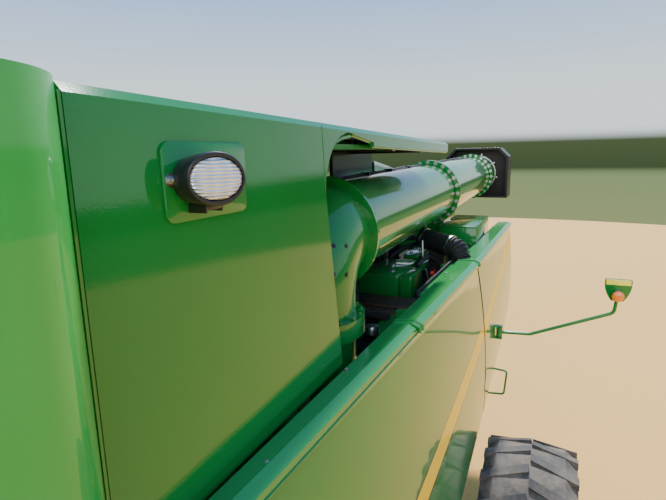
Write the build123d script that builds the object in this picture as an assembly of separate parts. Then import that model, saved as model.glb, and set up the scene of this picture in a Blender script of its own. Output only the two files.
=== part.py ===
from build123d import *
import math
import os

# A large rotary combine harvester, parked with no header on its feeder house.
# Millimetres. +X is forward, +Y the machine's left side, +Z up, z = 0 the ground.
# The origin lies under the middle of the overall box.

# Overall reach
HALF_LENGTH = 5150
MARKER_REACH = 2550

# Small clearances
SEAT_GAP = 0.3
DOOR_GAP = 8

# Wheels and axles
FRONT_AXLE_X = 2250
REAR_AXLE_X = -1100
FRONT_TYRE_R = 970
FRONT_TYRE_W = 520
FRONT_RIM_R = 540
TWIN_CENTRES = (1440, 2160)
FRONT_LUG_DEPTH = 40
FRONT_LUGS = 24
REAR_TYRE_R = 750
REAR_TYRE_W = 630
REAR_RIM_R = 390
REAR_TRACK_Y = 1910
REAR_LUG_DEPTH = 35
REAR_LUGS = 20
LUG_DROP = 30
RIM_WALL = 25
KINGPIN_Y = 1330
HUB_R = 170
SPINDLE_R = 68
AXLE_HALF_HEIGHT = 110

# Body housing and frame
BODY_HALF_W = 740
RAIL_HALF_W = 60
FRAME_Y = 560
BODY_FLOOR_Z = 1150
BODY_TOP_Z = 2180
BODY_NOSE_Z = 1950
BODY_FRONT_X = 2000
BODY_REAR_X = -2900
DECK_Z = 2600
DECK_EDGE_Y = 1220
DECK_REAR_X = -2830
COOLER_OUT_Y = 1180
STRAW_HOOD_HALF_W = 1000
STRAW_HOOD_LOW_Z = 1480

# Grain tank and the panels round it
TANK_FRONT_X = 1700
TANK_REAR_X = -560
TANK_SIDE_Y = 1190
TANK_BAY_Y = 620
TANK_BAY_X = 840
TANK_FLOOR_Z = 2180.3
TANK_TOP_Z = 3640
TANK_WALL = 20
PANEL_Y = 1240
PANEL_WALL = 28
PANEL_FRONT_X = 1745
PANEL_TOP_FRONT_Z = 3727
PANEL_TOP_REAR_Z = 3670
PANEL_LOW_Z = 2790
PANEL_REAR_TOP_X = 767
PANEL_REAR_LOW_X = 650
PANEL_FOLD = 18
HOOD_END_X = -1285
HOOD_LIP = 68
ARCH_STEP = 17
ARCH_PEAK_DROP = 29
ARCH_START_Z = 3470
ARCH_PEAK_X = 500
ARCH_END_X = 273
POST_BULGE_Y = 1330
POST_FRONT_X = 2030
POST_LOW_Z = 2060

# Shields below the tank
RAIL_Z = 2800
RAIL_THICK = 35
RAIL_FRONT_X = 1720
RAIL_REAR_X = -3560
RAIL_JOINT_X = 140
SHIELD_TOP_Z = 2769.7
SHIELD_LOW_Z = 1620
SHIELD_WALL = 32
SHIELD_BULGE = 34
SHIELD_FRONT_X = 1600
SHIELD_SEAM_X = -1330
SHIELD_REAR_X = -3500
SHIELD_CORNER_R = 520

# Unloading auger, folded back along the left side
AUGER_PIVOT_X = 400
AUGER_Y = 941
AUGER_Z = 3223
AUGER_RISE = 0.0162
AUGER_TUBE_R = 240
AUGER_WALL = 8
AUGER_RING_R = 280
AUGER_RING_THICK = 22
AUGER_RINGS_X = (150, -1947, -4194)
ELBOW_BEND_R = 239
BOOT_HALF_W = 410
BOOT_HALF_H = 335
BOOT_LENGTH = 450
BOOT_WALL = 26
BOOT_CHAMFER = 120
BOOT_LIP = 130

# Cab
CAB_REAR_X = 2080
CAB_FRONT_X = 3880
CAB_HALF_W = 920
CAB_FLOOR_Z = 2060
CAB_ROOF_Z = 3560
CAB_ROOF_THICK = 210
CAB_PILLAR = 70
CAB_DOOR_REAR_X = 2330
CAB_DOOR_FRONT_X = 3180
GLASS_WALL = 8

# Platform and ladder
PLATFORM_OUT_Y = 1860
PLATFORM_REAR_X = 2200
PLATFORM_THICK = 50
RAIL_TUBE_R = 19
LADDER_WIDTH = 460
LADDER_LOW_Z = 520

# Feeder house
FEEDER_PIVOT_X = 3020
FEEDER_PIVOT_Z = 1780
FEEDER_HALF_W = 700
FEEDER_FRONT_LOW_Z = 560
FEEDER_FRONT_TOP_Z = 1330
FEEDER_WALL = 20
FEEDER_SHAFT_R = 45
CYLINDER_Y = 480

# Moving parts' rest gaps
LID_Z = TANK_TOP_Z + 20
LID_RIDGE_Z = LID_Z + 190
LID_HINGE_Y = 1120
LID_THICK = 24


def block(x0, x1, y0, y1, z0, z1):
    centre = Pos((x0 + x1) / 2, (y0 + y1) / 2, (z0 + z1) / 2)
    return centre * Box(abs(x1 - x0), abs(y1 - y0), abs(z1 - z0))


def side_profile(points, y0, y1):
    face = make_face(Polyline(*[(x, y0, z) for x, z in points], close=True))
    return extrude(face, amount=y1 - y0, dir=(0, 1, 0))


def top_profile(points, z0, z1):
    face = make_face(Polyline(*[(x, y, z0) for x, y in points], close=True))
    return extrude(face, amount=z1 - z0, dir=(0, 0, 1))


def front_profile(points, x0, x1):
    face = make_face(Polyline(*[(x0, y, z) for y, z in points], close=True))
    return extrude(face, amount=x1 - x0, dir=(1, 0, 0))


def rod(start, end, radius):
    line = Line(start, end)
    return extrude(Plane(origin=start, z_dir=line % 0) * Circle(radius), amount=line.length)


def tube(start, end, radius, wall):
    line = Line(start, end)
    ring = Circle(radius) - Circle(radius - wall)
    return extrude(Plane(origin=start, z_dir=line % 0) * ring, amount=line.length)


def bent_rod(points, bend, radius):
    path = FilletPolyline(*points, radius=bend)
    return sweep(Plane(origin=path @ 0, z_dir=path % 0) * Circle(radius), path=path)


def on_right(shape):
    halves = [solid.mirror(Plane.XZ) for solid in shape.solids()]
    return halves[0] if len(halves) == 1 else apart(halves)


def joined(parts):
    whole = parts[0]
    for part in parts[1:]:
        whole = whole + part
    return whole


def apart(parts):
    return Compound(children=[solid for part in parts for solid in part.solids()])


def line_at(x, x0, value0, x1, value1):
    return value0 + (value1 - value0) * (x - x0) / (x1 - x0)


def save(shape, node):
    shape.label = node
    export_step(shape, "parts/" + node + ".step")


os.makedirs("parts", exist_ok=True)


# Wheels. A tyre is a revolved casing with chevron lugs, its rim a dished disc on a barrel.
# A lug's far corner lies on the tyre's radius, and its top falls by LUG_DROP to the shoulder.
def tyre(radius, width, rim_r, lug_depth, lugs):
    crown = radius - lug_depth
    shoulder = width * 0.36
    side = width / 2
    section = [
        (-side * 0.72, rim_r),
        (-side, rim_r + (crown - rim_r) * 0.45),
        (-side * 0.97, crown * 0.93),
        (-shoulder, crown),
        (shoulder, crown),
        (side * 0.97, crown * 0.93),
        (side, rim_r + (crown - rim_r) * 0.45),
        (side * 0.72, rim_r),
    ]
    face = make_face(Polyline(*[(0, y, z) for y, z in section], close=True))
    casing = revolve(face, Axis.Y)
    lug_half = math.pi * crown / lugs * 0.36
    reach = lug_half * 2.2
    far_x = reach + lug_half * 0.7
    top = math.sqrt(radius**2 - far_x**2)
    bars = []
    for turn in range(lugs):
        for hand in (1, -1):
            outline = [
                (reach - lug_half, 4 * hand),
                (far_x, 4 * hand),
                (lug_half * 0.2, (side - 6) * hand),
                (-lug_half * 1.5, (side - 6) * hand),
            ]
            slope = [(0, 0), (0, top), (side * hand, top - LUG_DROP), (side * hand, 0)]
            bar = top_profile(outline, crown * 0.93, radius) & front_profile(slope, -radius, radius)
            angle = 360 * (turn + (0.5 if hand < 0 else 0)) / lugs
            bars.append(Rot(0, angle, 0) * bar)
    return casing, bars


def whole_tyre(axle_x, centre_y, heading, radius, width, rim_r, lug_depth, lugs):
    casing, bars = tyre(radius, width, rim_r, lug_depth, lugs)
    return Pos(axle_x, centre_y, radius) * Rot(0, 0, heading) * casing.fuse(*bars)


def rim(axle_x, axle_z, centre_y, rim_r, width, disc_side):
    half = width * 0.36
    lip = rim_r - SEAT_GAP
    inner = lip - RIM_WALL
    dish = disc_side * half * 0.35
    section = [
        (-half, inner),
        (dish - 14, inner - 30),
        (dish - 14, HUB_R * 0.35),
        (dish + 14, HUB_R * 0.35),
        (dish + 14, inner - 30),
        (half, inner),
        (half, lip),
        (-half, lip),
    ]
    face = make_face(Polyline(*[(0, y, z) for y, z in section], close=True))
    return Pos(axle_x, centre_y, axle_z) * revolve(face, Axis.Y)


front_lugs = (FRONT_LUG_DEPTH, FRONT_LUGS)
rear_lugs = (REAR_LUG_DEPTH, REAR_LUGS)
inner_y, outer_y = TWIN_CENTRES
one_front = whole_tyre(FRONT_AXLE_X, inner_y, 0, FRONT_TYRE_R, FRONT_TYRE_W, FRONT_RIM_R, *front_lugs)
front_tyres = apart([one_front, Pos(0, outer_y - inner_y, 0) * one_front])
front_rims = [
    rim(FRONT_AXLE_X, FRONT_TYRE_R, y, FRONT_RIM_R, FRONT_TYRE_W, 1) for y in TWIN_CENTRES
]
twin_spacer = tube(
    (FRONT_AXLE_X, inner_y - FRONT_TYRE_W * 0.36, FRONT_TYRE_R),
    (FRONT_AXLE_X, outer_y + FRONT_TYRE_W * 0.30, FRONT_TYRE_R),
    HUB_R,
    HUB_R * 0.5,
)
front_rims = joined([twin_spacer] + front_rims)
save(front_tyres, "front_tyres_left")
save(on_right(front_tyres), "front_tyres_right")
save(front_rims, "front_rims_left")
save(on_right(front_rims), "front_rims_right")

# The rear tyres are mounted the other way round, with their chevrons pointing back at the top.
rear_tyre = whole_tyre(REAR_AXLE_X, REAR_TRACK_Y, 180, REAR_TYRE_R, REAR_TYRE_W, REAR_RIM_R, *rear_lugs)
rear_rim = rim(REAR_AXLE_X, REAR_TYRE_R, REAR_TRACK_Y, REAR_RIM_R, REAR_TYRE_W, 1)
rear_hub = tube(
    (REAR_AXLE_X, REAR_TRACK_Y - REAR_TYRE_W * 0.30, REAR_TYRE_R),
    (REAR_AXLE_X, REAR_TRACK_Y + REAR_TYRE_W * 0.20, REAR_TYRE_R),
    HUB_R * 0.8,
    HUB_R * 0.8 - SPINDLE_R - SEAT_GAP,
)
rear_rim = rear_rim + rear_hub
save(rear_tyre, "rear_tyre_left")
save(on_right(rear_tyre), "rear_tyre_right")
save(rear_rim, "rear_rim_left")
save(on_right(rear_rim), "rear_rim_right")

# Front axle: a box beam, a final drive case each side and its flanged stub.
final_drive_y = inner_y - FRONT_TYRE_W * 0.5 - 60
front_beam = block(FRONT_AXLE_X - 150, FRONT_AXLE_X + 150, -final_drive_y + 90, final_drive_y - 90, 880, 1130)
drives = []
for side in (1, -1):
    case = side_profile(
        [
            (FRONT_AXLE_X - 200, FRONT_TYRE_R - 190),
            (FRONT_AXLE_X + 200, FRONT_TYRE_R - 190),
            (FRONT_AXLE_X + 230, FRONT_TYRE_R + 120),
            (FRONT_AXLE_X + 110, FRONT_TYRE_R + 300),
            (FRONT_AXLE_X - 110, FRONT_TYRE_R + 300),
            (FRONT_AXLE_X - 230, FRONT_TYRE_R + 120),
        ],
        final_drive_y - 90,
        final_drive_y + 20,
    )
    stub_end = inner_y - FRONT_TYRE_W * 0.36 - SEAT_GAP
    case = case + rod(
        (FRONT_AXLE_X, final_drive_y, FRONT_TYRE_R), (FRONT_AXLE_X, stub_end, FRONT_TYRE_R), HUB_R * 0.8
    )
    drives.append(case if side > 0 else on_right(case))
CYL_BASE_X = FRONT_AXLE_X + 330
CYL_BASE_Z = 820
BARREL_EYE_HALF_W = 35
BARREL_PIN_R = 30
CYL_PIN_PLATE = 16
CYL_PLATE_NOSE = 34
cylinder_mounts = []
for side in (1, -1):
    for hand in (1, -1):
        y = side * CYLINDER_Y + hand * (BARREL_EYE_HALF_W + SEAT_GAP + CYL_PIN_PLATE / 2)
        cylinder_mounts.append(
            side_profile(
                [
                    (FRONT_AXLE_X + 140, 890),
                    (FRONT_AXLE_X + 140, 1060),
                    (CYL_BASE_X + CYL_PLATE_NOSE, CYL_BASE_Z + CYL_PLATE_NOSE),
                    (CYL_BASE_X + CYL_PLATE_NOSE, CYL_BASE_Z - CYL_PLATE_NOSE),
                    (CYL_BASE_X - CYL_PLATE_NOSE, CYL_BASE_Z - CYL_PLATE_NOSE),
                ],
                y - CYL_PIN_PLATE / 2,
                y + CYL_PIN_PLATE / 2,
            )
        )
    pin_half = BARREL_EYE_HALF_W + SEAT_GAP + CYL_PIN_PLATE
    cylinder_mounts.append(
        rod(
            (CYL_BASE_X, side * CYLINDER_Y - pin_half, CYL_BASE_Z),
            (CYL_BASE_X, side * CYLINDER_Y + pin_half, CYL_BASE_Z),
            BARREL_PIN_R,
        )
    )
front_axle = joined([front_beam] + drives + cylinder_mounts)
save(front_axle, "front_axle")

# Main frame: two side rails, cross members, axle hangers and the rear drawbar.
FRAME_FRONT_X = FEEDER_PIVOT_X + 90
rail_profile = [
    (BODY_FRONT_X + 700, 1130),
    (FRAME_FRONT_X, 1290),
    (FRAME_FRONT_X, 1370),
    (BODY_FRONT_X + 900, 1420),
    (BODY_FRONT_X, 1420),
    (BODY_FRONT_X - 260, BODY_FLOOR_Z - SEAT_GAP),
    (REAR_AXLE_X - 700, BODY_FLOOR_Z - SEAT_GAP),
    (REAR_AXLE_X - 700, BODY_FLOOR_Z - 150),
    (BODY_FRONT_X - 350, BODY_FLOOR_Z - 150),
    (FRONT_AXLE_X - 350, 1130),
]
FEEDER_EAR_THICK = 40
frame_parts = []
for side in (1, -1):
    y0 = side * FRAME_Y - RAIL_HALF_W
    frame_parts.append(side_profile(rail_profile, y0, y0 + 2 * RAIL_HALF_W))
    ear_in = FEEDER_HALF_W + DOOR_GAP
    ear_profile = [
        (FRAME_FRONT_X, 1290),
        (FRAME_FRONT_X, FEEDER_PIVOT_Z + 90),
        (BODY_FRONT_X + 905, FEEDER_PIVOT_Z + 90),
        (BODY_FRONT_X + 905, 1290),
    ]
    ear = side_profile(ear_profile, ear_in, ear_in + FEEDER_EAR_THICK)
    ear = ear - rod(
        (FEEDER_PIVOT_X, ear_in - 5, FEEDER_PIVOT_Z),
        (FEEDER_PIVOT_X, ear_in + FEEDER_EAR_THICK + 5, FEEDER_PIVOT_Z),
        FEEDER_SHAFT_R + SEAT_GAP,
    )
    ear = ear + block(BODY_FRONT_X + 905, FRAME_FRONT_X, FRAME_Y, ear_in + FEEDER_EAR_THICK, 1290, 1370)
    frame_parts.append(ear if side > 0 else on_right(ear))
for x in (BODY_FRONT_X + 700, BODY_FRONT_X - 700, REAR_AXLE_X + 900, REAR_AXLE_X, REAR_AXLE_X - 640):
    z0 = 1140 if x > BODY_FRONT_X else BODY_FLOOR_Z - 150
    frame_parts.append(block(x - 50, x + 50, -FRAME_Y, FRAME_Y, z0, z0 + 110))
HITCH_X = -3560
HITCH_Z = 870
HITCH_BORE_R = 20
hitch_beam = side_profile(
    [
        (REAR_AXLE_X - 690, BODY_FLOOR_Z - 150),
        (REAR_AXLE_X - 690, BODY_FLOOR_Z - 40),
        (HITCH_X + 260, HITCH_Z + 35),
        (HITCH_X - 80, HITCH_Z + 35),
        (HITCH_X - 80, HITCH_Z - 35),
        (HITCH_X + 260, HITCH_Z - 35),
    ],
    -60,
    60,
)
hitch_beam = hitch_beam - Pos(HITCH_X, 0, HITCH_Z) * Cylinder(HITCH_BORE_R, 200)
main_frame = joined(frame_parts + [hitch_beam])
save(main_frame, "main_frame")

# Rear axle: a pivoting beam under the frame with a clevis each end for the knuckle.
REAR_BEAM_Z = REAR_TYRE_R
clevis_half = 130
rear_beam = front_profile(
    [
        (-KINGPIN_Y + 90, REAR_BEAM_Z - 90),
        (KINGPIN_Y - 90, REAR_BEAM_Z - 90),
        (KINGPIN_Y - 90, REAR_BEAM_Z + 90),
        (260, BODY_FLOOR_Z - 150 - SEAT_GAP),
        (-260, BODY_FLOOR_Z - 150 - SEAT_GAP),
        (-KINGPIN_Y + 90, REAR_BEAM_Z + 90),
    ],
    REAR_AXLE_X - AXLE_HALF_HEIGHT,
    REAR_AXLE_X + AXLE_HALF_HEIGHT,
)
clevises = []
for side in (1, -1):
    for z in (REAR_BEAM_Z - clevis_half, REAR_BEAM_Z + clevis_half - 40):
        ear = Pos(REAR_AXLE_X, side * KINGPIN_Y, z + 20) * Cylinder(85, 40)
        web = block(
            REAR_AXLE_X - 70,
            REAR_AXLE_X + 70,
            side * (KINGPIN_Y - 140),
            side * KINGPIN_Y,
            z,
            z + 40,
        )
        clevises.append(ear + web)
    clevises.append(
        block(
            REAR_AXLE_X - 80,
            REAR_AXLE_X + 80,
            side * (KINGPIN_Y - 150),
            side * (KINGPIN_Y - 100),
            REAR_BEAM_Z - clevis_half,
            REAR_BEAM_Z + clevis_half,
        )
    )
rear_axle = joined([rear_beam] + clevises)
save(rear_axle, "rear_axle")

knuckle_post = Pos(REAR_AXLE_X, KINGPIN_Y, REAR_BEAM_Z) * Cylinder(72, 2 * clevis_half - 80 - 2 * SEAT_GAP)
knuckle_spindle = rod(
    (REAR_AXLE_X, KINGPIN_Y, REAR_TYRE_R),
    (REAR_AXLE_X, REAR_TRACK_Y + 30, REAR_TYRE_R),
    SPINDLE_R,
)
knuckle_arm = block(
    REAR_AXLE_X - 230, REAR_AXLE_X, KINGPIN_Y, KINGPIN_Y + 60, REAR_BEAM_Z - 30, REAR_BEAM_Z + 30
)
knuckle = joined([knuckle_post, knuckle_spindle, knuckle_arm])
save(knuckle, "steering_knuckle_left")
save(on_right(knuckle), "steering_knuckle_right")

# Separator body: the threshing housing over the frame, stepped down at its front.
body_profile = [
    (BODY_FRONT_X + 900, 1420 + SEAT_GAP),
    (BODY_FRONT_X + 900, BODY_NOSE_Z),
    (BODY_FRONT_X + 20, BODY_NOSE_Z),
    (BODY_FRONT_X - 60, BODY_TOP_Z),
    (BODY_REAR_X + 500, BODY_TOP_Z),
    (BODY_REAR_X, BODY_TOP_Z - 160),
    (BODY_REAR_X, 1500),
    (REAR_AXLE_X - 700, BODY_FLOOR_Z),
    (BODY_FRONT_X - 260, BODY_FLOOR_Z),
    (BODY_FRONT_X, 1420 + SEAT_GAP),
]
body = side_profile(body_profile, -BODY_HALF_W, BODY_HALF_W)
save(body, "separator_body")

# Straw hood and chopper close the rear end.
HOOD_REAR_X = -3700
straw_hood = side_profile(
    [
        (BODY_REAR_X - SEAT_GAP, STRAW_HOOD_LOW_Z),
        (BODY_REAR_X - SEAT_GAP, 2560),
        (HOOD_REAR_X + 160, 2560),
        (HOOD_REAR_X, 2350),
        (HOOD_REAR_X + 60, 1700),
        (HOOD_REAR_X + 250, STRAW_HOOD_LOW_Z),
    ],
    -STRAW_HOOD_HALF_W,
    STRAW_HOOD_HALF_W,
)
save(straw_hood, "straw_hood")

CHOPPER_LOW_Z = 1120
chopper = joined(
    [
        side_profile(
            [
                (BODY_REAR_X - 30, STRAW_HOOD_LOW_Z - SEAT_GAP),
                (BODY_REAR_X + 60, 1380),
                (BODY_REAR_X + 60, CHOPPER_LOW_Z),
                (HOOD_REAR_X + 450, CHOPPER_LOW_Z),
                (HOOD_REAR_X + 100, 1400),
                (HOOD_REAR_X + 240, STRAW_HOOD_LOW_Z - SEAT_GAP),
            ],
            -960,
            960,
        )
    ]
)
save(chopper, "chopper")

SPREADER_Y = 480
SPREADER_X = HOOD_REAR_X + 520
SPREADER_Z = 1010
SPREADER_R = 400
paddles = []
for turn in range(6):
    blade = block(90, SPREADER_R, -6, 6, 0, 90)
    paddles.append(Rot(0, 0, 60 * turn) * blade)
hub_top = CHOPPER_LOW_Z - SEAT_GAP - SPREADER_Z
spreader_hub = Pos(0, 0, hub_top / 2) * Cylinder(70, hub_top)
spreader = joined([Pos(0, 0, -8) * Cylinder(SPREADER_R, 16), spreader_hub] + paddles)
spreader = Pos(SPREADER_X, SPREADER_Y, SPREADER_Z) * spreader
save(spreader, "spreader_disc_left")
save(on_right(spreader), "spreader_disc_right")

# Grain tank: a hopper, narrower behind the bay that holds the auger's elbow.
tank_plan = [
    (TANK_FRONT_X, -TANK_SIDE_Y),
    (TANK_FRONT_X, TANK_SIDE_Y),
    (TANK_BAY_X, TANK_SIDE_Y),
    (TANK_BAY_X, TANK_BAY_Y),
    (TANK_REAR_X, TANK_BAY_Y),
    (TANK_REAR_X, -TANK_SIDE_Y),
]


inner_plan = [
    (TANK_FRONT_X - TANK_WALL, -TANK_SIDE_Y + TANK_WALL),
    (TANK_FRONT_X - TANK_WALL, TANK_SIDE_Y - TANK_WALL),
    (TANK_BAY_X + TANK_WALL, TANK_SIDE_Y - TANK_WALL),
    (TANK_BAY_X + TANK_WALL, TANK_BAY_Y - TANK_WALL),
    (TANK_REAR_X + TANK_WALL, TANK_BAY_Y - TANK_WALL),
    (TANK_REAR_X + TANK_WALL, -TANK_SIDE_Y + TANK_WALL),
]
grain_tank = top_profile(tank_plan, TANK_FLOOR_Z, TANK_TOP_Z)
grain_tank = grain_tank - top_profile(inner_plan, TANK_FLOOR_Z + TANK_WALL, TANK_TOP_Z + 10)
COAMING_Y = 1130
COAMING_X = (TANK_REAR_X + 40, TANK_FRONT_X - 40)
shelf_z = TANK_TOP_Z - TANK_WALL
shelf = block(TANK_REAR_X, TANK_FRONT_X, -TANK_SIDE_Y, TANK_SIDE_Y, shelf_z, TANK_TOP_Z)
shelf = shelf - top_profile(
    [
        (COAMING_X[1] - TANK_WALL, -COAMING_Y + TANK_WALL),
        (COAMING_X[1] - TANK_WALL, COAMING_Y - TANK_WALL),
        (TANK_BAY_X + TANK_WALL, COAMING_Y - TANK_WALL),
        (TANK_BAY_X + TANK_WALL, TANK_BAY_Y - TANK_WALL),
        (COAMING_X[0] + TANK_WALL, TANK_BAY_Y - TANK_WALL),
        (COAMING_X[0] + TANK_WALL, -COAMING_Y + TANK_WALL),
    ],
    shelf_z - 1,
    TANK_TOP_Z + 1,
)
gable = [
    (COAMING_Y, TANK_TOP_Z),
    (COAMING_Y, LID_Z - 6),
    (LID_HINGE_Y, LID_Z - SEAT_GAP),
    (0, LID_RIDGE_Z - SEAT_GAP),
    (-LID_HINGE_Y, LID_Z - SEAT_GAP),
    (-COAMING_Y, LID_Z - 6),
    (-COAMING_Y, TANK_TOP_Z),
]
coaming = [front_profile(gable, x, x + TANK_WALL) for x in (COAMING_X[0], COAMING_X[1] - TANK_WALL)]
for side in (1, -1):
    y0 = side * COAMING_Y - (TANK_WALL if side > 0 else 0)
    coaming.append(block(COAMING_X[0], COAMING_X[1], y0, y0 + TANK_WALL, TANK_TOP_Z, LID_Z - 6))
LID_HINGES_X = (-300, 550, 1400)
LID_BARREL_R = 7.5
LID_BARREL_HALF = 40


def lid_barrel(x, start, end, on_coaming):
    y, z = LID_HINGE_Y + 8, LID_Z + 8
    barrel = rod((x + start, y, z), (x + end, y, z), LID_BARREL_R)
    if on_coaming:
        return barrel + block(x + start, x + end, y - 4, COAMING_Y, LID_Z - 20, z)
    return barrel + block(x + start, x + end, LID_HINGE_Y - 8, y, z - 5, z + 5)


for x in LID_HINGES_X:
    for start in (-2 * LID_BARREL_HALF, LID_BARREL_HALF + SEAT_GAP):
        hinge = lid_barrel(x, start, start + LID_BARREL_HALF - SEAT_GAP, True)
        coaming.append(hinge)
        coaming.append(on_right(hinge))
panel_ribs = []
for side, rib_rear_x in ((1, TANK_BAY_X + 40), (-1, TANK_REAR_X + 40)):
    y0, y1 = side * TANK_SIDE_Y, side * (PANEL_Y - PANEL_WALL - SEAT_GAP)
    for z in (2860, 3540):
        panel_ribs.append(block(rib_rear_x, TANK_FRONT_X - 40, min(y0, y1), max(y0, y1), z, z + 40))
grain_tank = joined([grain_tank, shelf] + coaming + panel_ribs)
save(grain_tank, "grain_tank")

# Corner posts: rounded columns at the tank's front corners, proud of the side panels.
post_seam_x = PANEL_FRONT_X + DOOR_GAP
post_path = make_face(
    [
        Line((post_seam_x, PANEL_Y - 60, POST_LOW_Z), (post_seam_x, PANEL_Y - 12, POST_LOW_Z)),
        ThreePointArc(
            (post_seam_x, PANEL_Y - 12, POST_LOW_Z),
            (post_seam_x + 55, PANEL_Y + 55, POST_LOW_Z),
            (post_seam_x + 160, POST_BULGE_Y, POST_LOW_Z),
        ),
        Line((post_seam_x + 160, POST_BULGE_Y, POST_LOW_Z), (POST_FRONT_X - 60, POST_BULGE_Y, POST_LOW_Z)),
        ThreePointArc(
            (POST_FRONT_X - 60, POST_BULGE_Y, POST_LOW_Z),
            (POST_FRONT_X - 18, POST_BULGE_Y - 18, POST_LOW_Z),
            (POST_FRONT_X, POST_BULGE_Y - 60, POST_LOW_Z),
        ),
        Line((POST_FRONT_X, POST_BULGE_Y - 60, POST_LOW_Z), (POST_FRONT_X, PANEL_Y - 60, POST_LOW_Z)),
        Line((POST_FRONT_X, PANEL_Y - 60, POST_LOW_Z), (post_seam_x, PANEL_Y - 60, POST_LOW_Z)),
    ]
)
post = extrude(post_path, amount=PANEL_TOP_FRONT_Z - POST_LOW_Z, dir=(0, 0, 1))
wall_low_z = BODY_TOP_Z + SEAT_GAP
front_wall = block(post_seam_x, POST_FRONT_X, -PANEL_Y + 60, PANEL_Y - 60, wall_low_z, PANEL_TOP_FRONT_Z)
front_wall = front_wall - block(
    post_seam_x + 30, POST_FRONT_X - 30, -PANEL_Y + 90, PANEL_Y - 90, wall_low_z - 10, PANEL_TOP_FRONT_Z - 30
)
save(joined([front_wall, post, on_right(post)]), "corner_posts")


# Side panels of the tank. The left one has the arch over the elbow and the hood behind it, whose
# roof and inner wall close the engine bay off from the auger.
def panel_top(x):
    return line_at(x, PANEL_FRONT_X, PANEL_TOP_FRONT_Z, HOOD_END_X, PANEL_TOP_REAR_Z)


def panel_outline(arched):
    top_rear = panel_top(HOOD_END_X)
    lip_z = panel_top(ARCH_END_X) - HOOD_LIP
    edges = [
        Line((PANEL_FRONT_X, 0, PANEL_LOW_Z), (PANEL_FRONT_X, 0, panel_top(PANEL_FRONT_X))),
        Line((PANEL_FRONT_X, 0, panel_top(PANEL_FRONT_X)), (HOOD_END_X, 0, top_rear)),
    ]
    if arched:
        peak_z = panel_top(ARCH_PEAK_X) - ARCH_PEAK_DROP
        edges += [
            Line((HOOD_END_X, 0, top_rear), (HOOD_END_X, 0, top_rear - HOOD_LIP)),
            Line((HOOD_END_X, 0, top_rear - HOOD_LIP), (ARCH_END_X, 0, lip_z)),
            Line((ARCH_END_X, 0, lip_z), (ARCH_END_X, 0, lip_z + ARCH_STEP)),
            Line((ARCH_END_X, 0, lip_z + ARCH_STEP), (ARCH_PEAK_X, 0, peak_z)),
            ThreePointArc(
                (ARCH_PEAK_X, 0, peak_z),
                (PANEL_REAR_TOP_X - 75, 0, peak_z - 45),
                (PANEL_REAR_TOP_X, 0, ARCH_START_Z),
            ),
            Line((PANEL_REAR_TOP_X, 0, ARCH_START_Z), (PANEL_REAR_LOW_X, 0, PANEL_LOW_Z)),
            Line((PANEL_REAR_LOW_X, 0, PANEL_LOW_Z), (PANEL_FRONT_X, 0, PANEL_LOW_Z)),
        ]
    else:
        edges += [
            Line((HOOD_END_X, 0, top_rear), (HOOD_END_X, 0, PANEL_LOW_Z)),
            Line((HOOD_END_X, 0, PANEL_LOW_Z), (PANEL_FRONT_X, 0, PANEL_LOW_Z)),
        ]
    return make_face(edges)


def panel_section(x):
    top = panel_top(x)
    outline = [
        (PANEL_Y, PANEL_LOW_Z - 50),
        (PANEL_Y, top - PANEL_FOLD),
        (PANEL_Y - PANEL_FOLD, top + 1),
        (PANEL_Y - 2 * PANEL_FOLD, top + 1),
        (PANEL_Y - 2 * PANEL_FOLD, top - PANEL_WALL),
        (PANEL_Y - PANEL_FOLD - 12, top - PANEL_WALL),
        (PANEL_Y - PANEL_WALL, top - PANEL_FOLD - 12),
        (PANEL_Y - PANEL_WALL, PANEL_LOW_Z - 50),
    ]
    return make_face(Polyline(*[(x, y, z) for y, z in outline], close=True))


folded_sheet = loft([panel_section(PANEL_FRONT_X + 1), panel_section(HOOD_END_X - 1)], ruled=True)
left_panel = folded_sheet & extrude(panel_outline(True), amount=2000, dir=(0, 1, 0))
HOOD_INNER_Y = TANK_BAY_Y + 20
hood_roof = side_profile(
    [
        (TANK_REAR_X - SEAT_GAP, panel_top(TANK_REAR_X) - PANEL_WALL),
        (TANK_REAR_X - SEAT_GAP, panel_top(TANK_REAR_X)),
        (HOOD_END_X, panel_top(HOOD_END_X)),
        (HOOD_END_X, panel_top(HOOD_END_X) - PANEL_WALL),
    ],
    HOOD_INNER_Y,
    PANEL_Y - 2 * PANEL_FOLD,
)
HOOD_WALL_LOW_Z = 3180
hood_wall = side_profile(
    [
        (TANK_REAR_X - SEAT_GAP, HOOD_WALL_LOW_Z),
        (TANK_REAR_X - SEAT_GAP, panel_top(TANK_REAR_X) - 5),
        (HOOD_END_X, panel_top(HOOD_END_X) - 5),
        (HOOD_END_X, HOOD_WALL_LOW_Z),
    ],
    HOOD_INNER_Y,
    HOOD_INNER_Y + TANK_WALL,
)
left_panel = left_panel + hood_roof + hood_wall
save(left_panel, "tank_panel_left")
right_panel = on_right(folded_sheet) & extrude(panel_outline(False), amount=-2000, dir=(0, 1, 0))
save(right_panel, "tank_panel_right")

# Tank covers: two sloped leaves hinged along the side panels, meeting at a ridge.
LID_FRONT_X = COAMING_X[1] + 10
LID_REAR_X = COAMING_X[0] - 10
lid = front_profile(
    [
        (LID_HINGE_Y, LID_Z),
        (LID_HINGE_Y, LID_Z + LID_THICK),
        (6, LID_RIDGE_Z + LID_THICK),
        (6, LID_RIDGE_Z),
    ],
    LID_REAR_X,
    LID_FRONT_X,
)
lid_hinges = [lid_barrel(x, -LID_BARREL_HALF, LID_BARREL_HALF, False) for x in LID_HINGES_X]
lid = joined([lid] + lid_hinges)
save(lid, "tank_cover_left")
save(on_right(lid), "tank_cover_right")

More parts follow.
